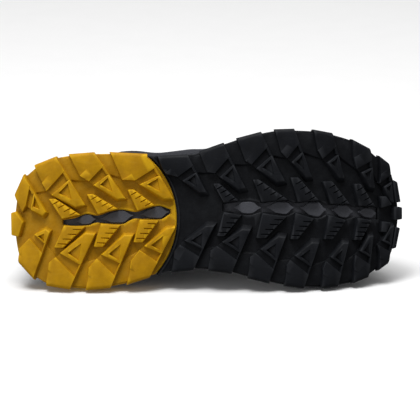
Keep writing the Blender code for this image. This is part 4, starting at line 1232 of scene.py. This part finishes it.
def woven_cloth():
    """Effect group: plain weave of rounded threads on a UV map in millimetres."""
    inputs = {"Place": "Vector", "Pitch": "Float"}
    tree, start, end = new_tree("woven_cloth", "ShaderNodeTree", inputs, {"Height": "Float", "Fuzz": "Float"})
    scaled = node(tree, "ShaderNodeVectorMath", {0: start["Place"], 1: start["Pitch"]}, operation="DIVIDE")
    split = node(tree, "ShaderNodeSeparateXYZ", {"Vector": scaled}).node.outputs
    waves, floors = [], []
    for axis in ("X", "Y"):
        turn = maths(tree, "MULTIPLY", split[axis], np.pi)
        waves.append(maths(tree, "ABSOLUTE", maths(tree, "SINE", turn)))
        floors.append(maths(tree, "FLOOR", split[axis]))
    over = maths(tree, "FLOORED_MODULO", maths(tree, "ADD", *floors), 2.0)
    height = blend_value(tree, over, *waves)
    return end_tree(tree, end, {"Height": height, "Fuzz": noise(tree, scaled, scale=2.2, detail=3.0)})


def blend_value(tree, factor, first, second):
    """Mix of two values by a factor."""
    return node(tree, "ShaderNodeMix", {0: factor, 2: first, 3: second})


WOVEN_CLOTH = woven_cloth()


def weave(tree, light, dark, pitch):
    """Colour, roughness and height of a cloth on the piece's own UV map."""
    place = node(tree, "ShaderNodeUVMap", {}, uv_map="cloth")
    sizes = {"Place": place, "Pitch": pitch}
    cloth = node(tree, "ShaderNodeGroup", sizes, node_tree=WOVEN_CLOTH).node.outputs
    colour = blend_colour(tree, maths(tree, "MULTIPLY", cloth["Fuzz"], cloth["Height"]), dark, light)
    return colour, stretched(tree, cloth["Fuzz"], to_low=0.75, to_high=0.95), cloth["Height"]


def woven(name, light, dark, pitch, bump):
    """Woven or knit fabric."""
    material, tree = new_material(name, {"Sheen Weight": FABRIC_SHEEN})
    colour, gloss, height = weave(tree, light, dark, pitch)
    return dressed(material, {"Base Color": colour, "Roughness": gloss}, height, bump, FABRIC_BUMP)


def upper_fabric(name, light, dark, film_light, film_dark):
    """Dark mesh fabric that changes to a smooth grained overlay where the panel attribute says so."""
    material, tree = new_material(name, {"Sheen Weight": FABRIC_SHEEN, "Specular IOR Level": 0.28})
    cloth, gloss, height = weave(tree, light, dark, pitch=1.15)
    panel = node(tree, "ShaderNodeAttribute", {}, "Fac", attribute_name="panel")
    place = node(tree, "ShaderNodeTexCoord", {}, "Object")
    pebble = node(tree, "ShaderNodeTexVoronoi", {"Vector": place, "Scale": 850.0})
    cloudy = noise(tree, place, scale=60.0, detail=5.0)
    film = blend_colour(tree, cloudy, film_dark, film_light)
    shine = stretched(tree, cloudy, to_low=0.36, to_high=0.56)
    relief = blend_value(tree, panel, height, maths(tree, "MULTIPLY", pebble, 0.35))
    return dressed(material, {
        "Base Color": blend_colour(tree, panel, cloth, film),
        "Roughness": blend_value(tree, panel, gloss, shine),
    }, relief, strength=0.55, distance=FABRIC_BUMP)


def set_uv(mesh, uv):
    """UV map for cloth, from a UV point for each vertex in millimetres."""
    corners = np.zeros(len(mesh.loops), int)
    mesh.loops.foreach_get("vertex_index", corners)
    mesh.uv_layers.new(name="cloth").data.foreach_set("uv", np.asarray(uv)[corners].ravel())


def sheet_object(name, points, faces, uv, materials, indices):
    """Object from points, faces, a UV point for each vertex and a material for each face."""
    mesh = bpy.data.meshes.new(name)
    mesh.from_pydata(np.asarray(points).tolist(), [], faces)
    set_uv(mesh, uv)
    for material in materials:
        mesh.materials.append(material)
    mesh.polygons.foreach_set("material_index", indices)
    return linked(name, mesh)


def close_seams(item, distance):
    """Join the vertices that meet, drop what no face uses and turn the faces outwards."""
    bm = bmesh.new()
    bm.from_mesh(item.data)
    bmesh.ops.delete(bm, geom=[vert for vert in bm.verts if not vert.link_faces], context="VERTS")
    bmesh.ops.remove_doubles(bm, verts=bm.verts, dist=distance)
    bmesh.ops.recalc_face_normals(bm, faces=bm.faces)
    bm.to_mesh(item.data)
    bm.free()


def with_folds(even, folds, half):
    """Even steps, and closer ones where the surface folds."""
    return np.union1d(even, np.add.outer(folds, np.multiply(half, FOLD_SHIFTS)))


def run_length(points, axis):
    """Distance along one axis of a grid of points, from its start."""
    start = np.take(points, [0], axis)
    return np.linalg.norm(np.diff(points, axis=axis, prepend=start), axis=-1).cumsum(axis=axis)


UPPER_FABRIC = upper_fabric(
    "upper_fabric_black", light=(0.038, 0.040, 0.046), dark=(0.008, 0.008, 0.010),
    film_light=(0.020, 0.021, 0.024), film_dark=(0.010, 0.0105, 0.012),
)
LINING = woven("lining_knit_grey", (0.20, 0.205, 0.215), (0.07, 0.072, 0.078), pitch=0.8, bump=0.5)
steps = np.union1d(np.linspace(0, LAST_T, STEPS_T), THROAT_FRONT_T)
steps = with_folds(steps, (COUNTER_T, THROAT_TOP_T, STAY_END_T, CAP_T), FOLD_T)
rises = with_folds(np.linspace(0, 1, STEPS_V), (RAND_V, CAP_V, STAY_V), FOLD_V)
outer_grid = np.meshgrid(steps, rises, indexing="ij")
inner_t, inner_v = np.meshgrid(steps, np.linspace(1, 0, LINING_STEPS), indexing="ij")
overlays = overlay_mask(*outer_grid)
lift = OVERLAY * overlays + crease_height(*outer_grid)
collar = (1 - step_up(inner_t, THROAT_TOP_T, COLLAR_STEP_T)) * step_up(inner_v, STAY_V, COLLAR_STEP_V)
wall = WALL + (COLLAR_WALL - WALL) * collar
shells = {
    side: {"outer": over_shell(side, *outer_grid, lift), "inner": over_shell(side, inner_t, inner_v, -wall)}
    for side in SIDE_SIGN
}
ridge = steps > THROAT_FRONT_T - MERGE
for name, at in (("outer", -1), ("inner", 0)):
    crest = (shells["lat"][name][ridge, at] + shells["med"][name][ridge, at]) / 2
    for shell in shells.values():
        shell[name][ridge, at] = crest
columns = []
for shell in shells.values():
    outer, inner = shell["outer"], shell["inner"]
    above = unit(outer[:, -1] - outer[:, -4])
    half = (inner[:, 0] - outer[:, -1]) / 2
    radius = np.where(ridge, 0.0, np.linalg.norm(half, axis=1))
    rim = np.stack([
        outer[:, -1] + half * (1 - np.cos(turn)) + above * (radius * np.sin(turn))[:, None]
        for turn in RIM_TURNS
    ], axis=1)
    columns.append(np.concatenate((outer, rim, inner), axis=1))
mask = np.pad(overlays, ((0, 0), (0, columns[0].shape[1] - len(rises))))
points, panel, closed = (
    np.concatenate((lateral, medial[-2:0:-1])) for lateral, medial in (columns, (mask, mask), (ridge, ridge))
)
count, rows = points.shape[:2]
spread = run_length(points, 1)
girth = run_length(points[:, GIRTH_ROW], 0)
uv = np.stack((np.broadcast_to(girth[:, None], spread.shape), spread), -1).reshape(-1, 2)
faces, lined = [], []
top_row, inner_row = len(rises) - 1, len(rises) + len(RIM_TURNS)
for at in range(count):
    after = (at + 1) % count
    for row in range(rows):
        if top_row <= row < inner_row and closed[at] and closed[after]:
            continue
        later = (row + 1) % rows
        faces.append((at * rows + row, after * rows + row, after * rows + later, at * rows + later))
        lined.append(int(top_row + 1 < row < rows - 1))
upper = sheet_object("upper_look", points.reshape(-1, 3), faces, uv, (UPPER_FABRIC, LINING), lined)
upper.data.attributes.new("panel", "FLOAT", "POINT").data.foreach_set("value", panel.ravel())
close_seams(upper, MERGE)
holes = bmesh.new()
turns = np.linspace(0, 2 * np.pi, EYELET_SIDES, endpoint=False)
for side in SIDE_SIGN:
    for t in EYELET_T:
        axis = shell_normal(side, t, EYELET_V)
        beside = unit(np.cross(axis, (1.0, 0.0, 0.0)))
        circle = np.outer(np.cos(turns), beside) + np.outer(np.sin(turns), np.cross(axis, beside))
        centre = shell_point(side, t, EYELET_V)
        add_tube(holes, [centre + axis * reach + EYELET_RADIUS * circle for reach in (-PUNCH, PUNCH)])
combine(upper, new_object("eyelet_punch", holes), "DIFFERENCE")
settle(upper, points_of(upper))
shade(upper, sharp=50)
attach(upper, "root")
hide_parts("upper")

# Stitching: rows of grey thread that hold the overlays and the collar, sewn before the upper is lasted.
# Each stitch is a short bead of thread along the edge that it holds.
STITCH_PITCH = 2.7
STITCH_HALF_LONG = 1.05
STITCH_HALF_THICK = 0.33
STITCH_SUNK = 0.5
BEAD_ORDER = (1.0, 10.0, 100.0)
EDGE_V = 0.026
EDGE_T = 0.13
RAND_LINE = RAND_V - EDGE_V
CAP_LINE = CAP_V - EDGE_V
STAY_LINE = STAY_V + EDGE_V
COLLAR_LINE = STAY_V - 0.03
COLLAR_LINE_END = THROAT_TOP_T - 0.1
STAY_BACK = THROAT_TOP_T + EDGE_T
STAY_FRONT = STAY_END_T - EDGE_T
STITCH_LINES = (
    ((0.0, RAND_LINE), (LAST_T, RAND_LINE)),
    ((0.0, CAP_LINE), (COUNTER_T - EDGE_T, CAP_LINE), (COUNTER_T - EDGE_T, RAND_V)),
    ((LAST_T, CAP_LINE), (CAP_T + EDGE_T, CAP_LINE), (CAP_T + EDGE_T, RAND_V)),
    ((STAY_BACK, 0.965), (STAY_BACK, STAY_LINE), (STAY_FRONT, STAY_LINE), (STAY_FRONT, 0.98)),
    ((0.0, COLLAR_LINE), (COLLAR_LINE_END, COLLAR_LINE)),
)
LINE_STEPS = 18
LINE_FEWEST = 12


def stitch_tree():
    """Beads of thread along paths, lying along the path and square to the cloth."""
    tree, start, end, curve = row_tree("stitch_row", {"Pitch": "Float"})
    sizes = {"Curve": curve, "Length": start["Pitch"]}
    spaced = node(tree, "GeometryNodeResampleCurve", sizes, mode="LENGTH")
    tangent = node(tree, "GeometryNodeInputTangent", {})
    along = node(tree, "FunctionNodeAlignRotationToVector", {"Vector": tangent}, axis="X")
    upright = {"Rotation": along, "Vector": vector_attribute(tree, "up")}
    square = node(tree, "FunctionNodeAlignRotationToVector", upright, axis="Z", pivot_axis="X")
    return lay_copies(tree, start, end, {"Points": spaced, "Rotation": square})


def thread(name, light, dark):
    """Twisted thread with fine slanting plies."""
    material, tree = new_material(name, {"Roughness": 0.7})
    place = node(tree, "ShaderNodeTexCoord", {}, "Object")
    twist = {"Vector": place, "Scale": 1400.0, "Distortion": 1.5, "Detail": 1.0}
    plies = node(tree, "ShaderNodeTexWave", twist, "Fac")
    colour = blend_colour(tree, plies, dark, light)
    return dressed(material, {"Base Color": colour}, plies, strength=0.4, distance=0.0001)


bead = bmesh.new()
bmesh.ops.create_uvsphere(bead, u_segments=6, v_segments=5, radius=1.0)
for vert in bead.verts:
    x, y, z = vert.co
    vert.co = np.array((z * STITCH_HALF_LONG, x * STITCH_HALF_THICK, y * STITCH_HALF_THICK)) * MM
bead.faces.sort(key=lambda face: face.calc_center_median().dot(BEAD_ORDER))
places, ups, links = [], [], []
for side in SIDE_SIGN:
    for line in STITCH_LINES:
        for (t0, v0), (t1, v1) in zip(line, line[1:]):
            part = np.linspace(0, 1, max(LINE_FEWEST, int(LINE_STEPS * abs(t1 - t0))))
            t, v = t0 + (t1 - t0) * part, v0 + (v1 - v0) * part
            lift = OVERLAY * overlay_mask(t, v) + crease_height(t, v) + STITCH_SUNK * STITCH_HALF_THICK
            links.extend((len(places) + at, len(places) + at + 1) for at in range(len(part) - 1))
            places.extend(in_place(over_shell(side, t, v, lift)))
            ups.extend(shell_normal(side, t, v) @ LAST_AXES.T)
STITCH_THREAD = thread("stitch_thread_grey", (0.16, 0.165, 0.175), (0.06, 0.062, 0.068))
stitching = run_nodes("stitching", places, links, {"up": ups}, stitch_tree(), {
    "Shape": new_object("stitch_bead", bead), "Pitch": STITCH_PITCH * MM, "Material": STITCH_THREAD,
})
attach(stitching, "root")

# Insole: a loose footbed of foam under grey knit, die cut to the inside of the upper.
# It lies on the midsole and lifts out.
INSOLE_INSET = 4.0
INSOLE_THICK = 4.0
INSOLE_STEPS = 81
INSOLE_ROUND = ((0.0, 0.0), (0.0, 0.7), (0.4, 0.9), (1.2, 1.0), (9.0, 1.0))
insole_plan = grown(loop_of("feather", np.linspace(0, LAST_T, INSOLE_STEPS)), -INSOLE_INSET)
insole_rings = []
for inset, share in INSOLE_ROUND:
    loop = grown(insole_plan, -inset)
    insole_rings.append(np.column_stack((loop, bed_height(loop[:, 0]) + GAP + INSOLE_THICK * share)))
footbed = bmesh.new()
add_ladder(footbed, insole_rings)
insole = new_object("insole_look", footbed)
flat = points_of(insole)
settle(insole, flat)
set_uv(insole.data, flat[:, :2])
shade(insole, sharp=40)
INSOLE_KNIT = woven("insole_knit_grey", (0.21, 0.215, 0.225), (0.09, 0.092, 0.098), pitch=1.0, bump=0.5)
paint(insole, INSOLE_KNIT)
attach(insole, "root")
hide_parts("insole")

# Tongue: a padded strip of black fabric under the eyestay, sewn in at the front of the throat and free at
# its top. Sewn channels across it keep the padding in place.
TONGUE_CLEAR = 1.0
TONGUE_THICK = 3.5
TONGUE_CROWN = 1.5
TONGUE_RISE = np.array((-0.5, 0.0, 0.87))
TONGUE_T = np.linspace(THROAT_TOP_T + 0.45, THROAT_FRONT_T + 0.5, 49)
TONGUE_FLANK_V = np.linspace(0.78, 1.0, 9)
TONGUE_ACROSS = np.linspace(-1, 1, 11)[1:-1]
TONGUE_END_STEPS = 15
TONGUE_END_LENGTH = (0.0, 7.0, 15.0)
TONGUE_END_WIDTH = (1.0, 0.76, 0.7)
TONGUE_END_ROUND = 0.06
CROWN_WIDE = 12.0
CROWN_LEAN = 0.2
CHANNELS = (0.12, 0.3, 0.48, 0.66)
CHANNEL_DEEP = 0.7
CHANNEL_HALF = 0.018
CHANNEL_POWER = 8
EDGE_POWER = 6
END_POWER = 3
TONGUE_JOIN = 0.01


def tongue_sheet(depth):
    """Grid of tongue points at one depth under the last's surface, from its free top to its front."""
    rows = []
    for t in TONGUE_T:
        flanks = {side: over_shell(side, t, TONGUE_FLANK_V, -depth) for side in SIDE_SIGN}
        wide = np.linalg.norm(shell_point("lat", t, 1.0) - shell_point("med", t, 1.0))
        crown = TONGUE_CROWN * min(1.0, wide / CROWN_WIDE)
        low, high = flanks["lat"][-1], flanks["med"][-1]
        arch = np.outer(1 - TONGUE_ACROSS**2, (CROWN_LEAN * crown, 0.0, crown))
        bridge = low + np.outer((TONGUE_ACROSS + 1) / 2, high - low) + arch
        rows.append(np.vstack((flanks["lat"], bridge, flanks["med"][::-1])))
    root = rows[0]
    centre = root[len(root) // 2]
    for length in np.linspace(1.0, TONGUE_END_LENGTH[-1], TONGUE_END_STEPS):
        narrow = np.interp(length, TONGUE_END_LENGTH, TONGUE_END_WIDTH)
        rows.insert(0, centre + (root - centre) * (1.0, narrow, narrow) + TONGUE_RISE * length)
    return np.array(rows)


def grid_faces(rows, columns, start):
    """Faces between the rows and columns of a grid of points."""
    corners = [start + at * columns + row for at in range(rows - 1) for row in range(columns - 1)]
    return [(corner, corner + 1, corner + columns + 1, corner + columns) for corner in corners]


face = tongue_sheet(WALL + TONGUE_CLEAR)
back = tongue_sheet(WALL + TONGUE_CLEAR + TONGUE_THICK)
long_part = np.linspace(0, 1, len(face))[:, None]
wide_part = np.linspace(-1, 1, face.shape[1])[None, :]
near_end = np.clip(1 - long_part / TONGUE_END_ROUND, 0, 1)
fullness = (1 - np.abs(wide_part) ** EDGE_POWER) * (1 - near_end**END_POWER)
dents = sum(np.exp(-(((long_part - at) / CHANNEL_HALF) ** 2)) for at in CHANNELS)
dents = dents * (1 - np.abs(wide_part) ** CHANNEL_POWER)
thin = (0.5 * (1 - fullness))[..., None]
dented = thin + (CHANNEL_DEEP / TONGUE_THICK * dents)[..., None]
layers = np.stack((face + (back - face) * dented, back + (face - back) * thin))
layer_rows, layer_columns = face.shape[:2]
uv = np.stack((run_length(face, 1), run_length(face, 0)), -1).reshape(-1, 2)
size = layer_rows * layer_columns
faces = []
for quad in grid_faces(layer_rows, layer_columns, 0):
    faces += [quad, tuple(size + place for place in quad[::-1])]
border = list(range(layer_columns))
border += [at * layer_columns + layer_columns - 1 for at in range(1, layer_rows)]
border += [(layer_rows - 1) * layer_columns + at for at in range(layer_columns - 2, -1, -1)]
border += [at * layer_columns for at in range(layer_rows - 2, 0, -1)]
faces += [(here, size + here, size + there, there) for here, there in zip(border, border[1:] + border[:1])]
TONGUE_FABRIC = woven(
    "tongue_fabric_black", (0.060, 0.063, 0.070), (0.015, 0.015, 0.017), pitch=1.3, bump=0.6,
)
tongue = sheet_object(
    "tongue_look", layers.reshape(-1, 3), faces, np.vstack((uv, uv)), (TONGUE_FABRIC,), [0] * len(faces),
)
close_seams(tongue, TONGUE_JOIN)
settle(tongue, points_of(tongue))
shade(tongue, sharp=60)
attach(tongue, "root")
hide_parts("tongue")

# Lace: one round braided cord of black polyester, laced criss-cross from a bar over the lowest eyelets.
# Each run comes up through an eyelet, crosses over the tongue and goes under the other eyestay.
# The ends stop inside.
LACE_RADIUS = 1.5
LACE_SIDES = 14
LACE_STEP = 0.8
LACE_FINE = 200
# Stops of a run: which of its two sides, share of the way between the eyelets, height on the upper, lift
RUN_STOPS = (
    (0, 0.0, 0.91, -4.2), (0, 0.0, 0.91, 0.6), (0, 0.04, 0.945, 3.2), (0, 0.22, 1.0, 3.8),
    (1, 0.76, 1.0, 3.4), (1, 0.92, 0.955, 3.0), (1, 1.0, 0.91, 0.4), (1, 1.0, 0.91, -4.2),
)
RUN_MIDDLE = 4
OVER_LIFT = 1.2
UNDER_LIFT = -0.6
LIFT_WAY = np.array((0.25, 0.0, 0.97))
ROUND_FROM = (0.3, 0.1, 1.0)


def lace_run(sides, t_here, t_there, over):
    """Points of one crossing from an eyelet to the next one on the other side."""
    points = []
    for side, part, v, lift in RUN_STOPS:
        points.append(over_shell(sides[side], t_here + (t_there - t_here) * part, v, lift))
    middle = (points[RUN_MIDDLE - 1] + points[RUN_MIDDLE]) / 2 + LIFT_WAY * over
    points.insert(RUN_MIDDLE, middle)
    return np.array(points)


def smooth_path(points, spacing):
    """Evenly spaced points on a smooth curve through the given ones."""
    gaps = np.linalg.norm(np.diff(points, axis=0), axis=1) ** 0.5
    knots = np.concatenate(((0.0,), gaps.cumsum()))
    fine = np.linspace(0, knots[-1], LACE_FINE)
    padded = np.vstack((2 * points[0] - points[1], points, 2 * points[-1] - points[-2]))
    times = np.concatenate(((-gaps[0],), knots, (knots[-1] + gaps[-1],)))
    piece = np.clip(np.searchsorted(knots, fine, side="right") - 1, 0, len(points) - 2)
    curve = []
    for time, at in zip(fine, piece):
        row = padded[at:at + 4]
        for starts, ends in (((0, 1, 2), (1, 2, 3)), ((0, 1), (2, 3)), ((1,), (2,))):
            pairs = zip(times[at:][list(starts)], times[at:][list(ends)], row, row[1:])
            row = [(t1 - time) / (t1 - t0) * p0 + (time - t0) / (t1 - t0) * p1 for t0, t1, p0, p1 in pairs]
        curve.append(row[0])
    curve = np.array(curve)
    run = run_length(curve, 0)
    even = np.linspace(0, run[-1], int(run[-1] / spacing))
    return np.column_stack([np.interp(even, run, curve[:, axis]) for axis in range(3)])


def braided_cord(name, light, dark):
    """Braid of slanting strands on a UV map that runs round and along the cord."""
    material, tree = new_material(name, {})
    place = node(tree, "ShaderNodeUVMap", {}, uv_map="cloth")
    slant = node(tree, "ShaderNodeMapping", {"Vector": place, "Rotation": (0.0, 0.0, np.radians(45))})
    cloth = node(tree, "ShaderNodeGroup", {"Place": slant, "Pitch": 0.83}, node_tree=WOVEN_CLOTH).node.outputs
    return dressed(material, {
        "Base Color": blend_colour(tree, cloth["Height"], dark, light),
        "Roughness": stretched(tree, cloth["Fuzz"], to_low=0.6, to_high=0.85),
    }, cloth["Height"], strength=0.8, distance=FABRIC_BUMP)


levels = EYELET_T[::-1]
runs = [lace_run(("lat", "med"), levels[0], levels[0], 0.0)]
for sides, over in ((("lat", "med"), OVER_LIFT), (("med", "lat"), UNDER_LIFT)):
    for low, high in zip(levels, levels[1:]):
        runs.append(lace_run(sides, low, high, over))
        sides = sides[::-1]
lace_points, lace_faces, lace_uv = [], [], []
around = np.linspace(0, 2 * np.pi, LACE_SIDES + 1)
for run in runs:
    path = smooth_path(run, LACE_STEP)
    tangent = unit(np.gradient(path, axis=0))
    beside = unit(np.cross(tangent, ROUND_FROM))
    third = np.cross(tangent, beside)
    start = len(lace_points)
    for at, centre in enumerate(path):
        for turn in around:
            lace_points.append(centre + LACE_RADIUS * (beside[at] * np.cos(turn) + third[at] * np.sin(turn)))
            lace_uv.append((turn * LACE_RADIUS, at * LACE_STEP))
    lace_faces += grid_faces(len(path), len(around), start)
    last = start + (len(path) - 1) * len(around)
    lace_faces.append(tuple(range(start, start + LACE_SIDES)))
    lace_faces.append(tuple(range(last + LACE_SIDES - 1, last - 1, -1)))
LACE_BRAID = braided_cord("lace_braid_black", (0.055, 0.057, 0.062), (0.010, 0.010, 0.011))
lace = sheet_object(
    "lace_look", in_place(lace_points), lace_faces, lace_uv, (LACE_BRAID,), [0] * len(lace_faces),
)
close_seams(lace, MERGE * MM)
lace.data.shade_smooth()
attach(lace, "root")
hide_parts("lace")

# Floor, light and camera: a pale studio floor, a broad soft light over the outer side of the shoe,
# and a long lens square to the tread, as the photograph was taken.
LOOK_AT = (129.7, -3.9, 4.0)
LENS_AWAY = 3.6
LENS_FAR = 20.0
VIEW_WIDE = 0.2716
FLOOR_CORNERS = ((-4.0, -4.0, 0.0), (4.0, -4.0, 0.0), (4.0, 4.0, 0.0), (-4.0, 4.0, 0.0))
SKY = 0.3
# Lamps: name, place, size, watts
LIGHTS = (
    ("key_softbox", (-0.3, -0.45, 1.4), 0.6, 11.5),
    ("top_softbox", (0.05, 0.05, 1.6), 1.3, 18.0),
    ("side_softbox", (-0.7, -0.6, 0.12), 0.4, 1.8),
)
floor_mesh = bpy.data.meshes.new("floor")
floor_mesh.from_pydata(FLOOR_CORNERS, [], [(0, 1, 2, 3)])
floor = linked("floor", floor_mesh)
floor.visible_diffuse = False
floor.visible_glossy = False
paper, paper_tree = new_material("studio_paper", {"Roughness": 0.9})
paper_grain = noise(paper_tree, node(paper_tree, "ShaderNodeTexCoord", {}, "Object"), scale=40.0, detail=4.0)
paper_tone = blend_colour(paper_tree, paper_grain, (0.90, 0.90, 0.90), (0.93, 0.93, 0.93))
floor_mesh.materials.append(dressed(paper, {"Base Color": paper_tone}))

world = bpy.data.worlds.new("studio")
world.use_nodes = True
world.node_tree.nodes["Background"].inputs["Color"].default_value = (1.0, 1.0, 1.0, 1.0)
world.node_tree.nodes["Background"].inputs["Strength"].default_value = SKY
bpy.context.scene.world = world
bpy.context.scene.view_settings.view_transform = "Standard"

middle = Vector(in_place([LOOK_AT])[0])
for name, place, size, power in LIGHTS:
    lamp = bpy.data.lights.new(name, "AREA")
    lamp.size = size
    lamp.energy = power
    holder = linked(name, lamp)
    holder.location = place
    holder.rotation_euler = (middle - Vector(place)).to_track_quat("-Z", "Y").to_euler()

lens = bpy.data.cameras.new("camera")
lens.sensor_fit = "HORIZONTAL"
lens.angle = 2 * np.arctan(VIEW_WIDE / 2 / LENS_AWAY)
lens.clip_end = LENS_FAR
camera = linked("camera", lens)
turned = Matrix(np.column_stack((LAST_AXES[:, 0], -LAST_AXES[:, 1], -LAST_AXES[:, 2])).tolist()).to_4x4()
camera.matrix_world = Matrix.Translation(middle - Vector(LAST_AXES[:, 2]) * LENS_AWAY) @ turned
bpy.context.scene.camera = camera
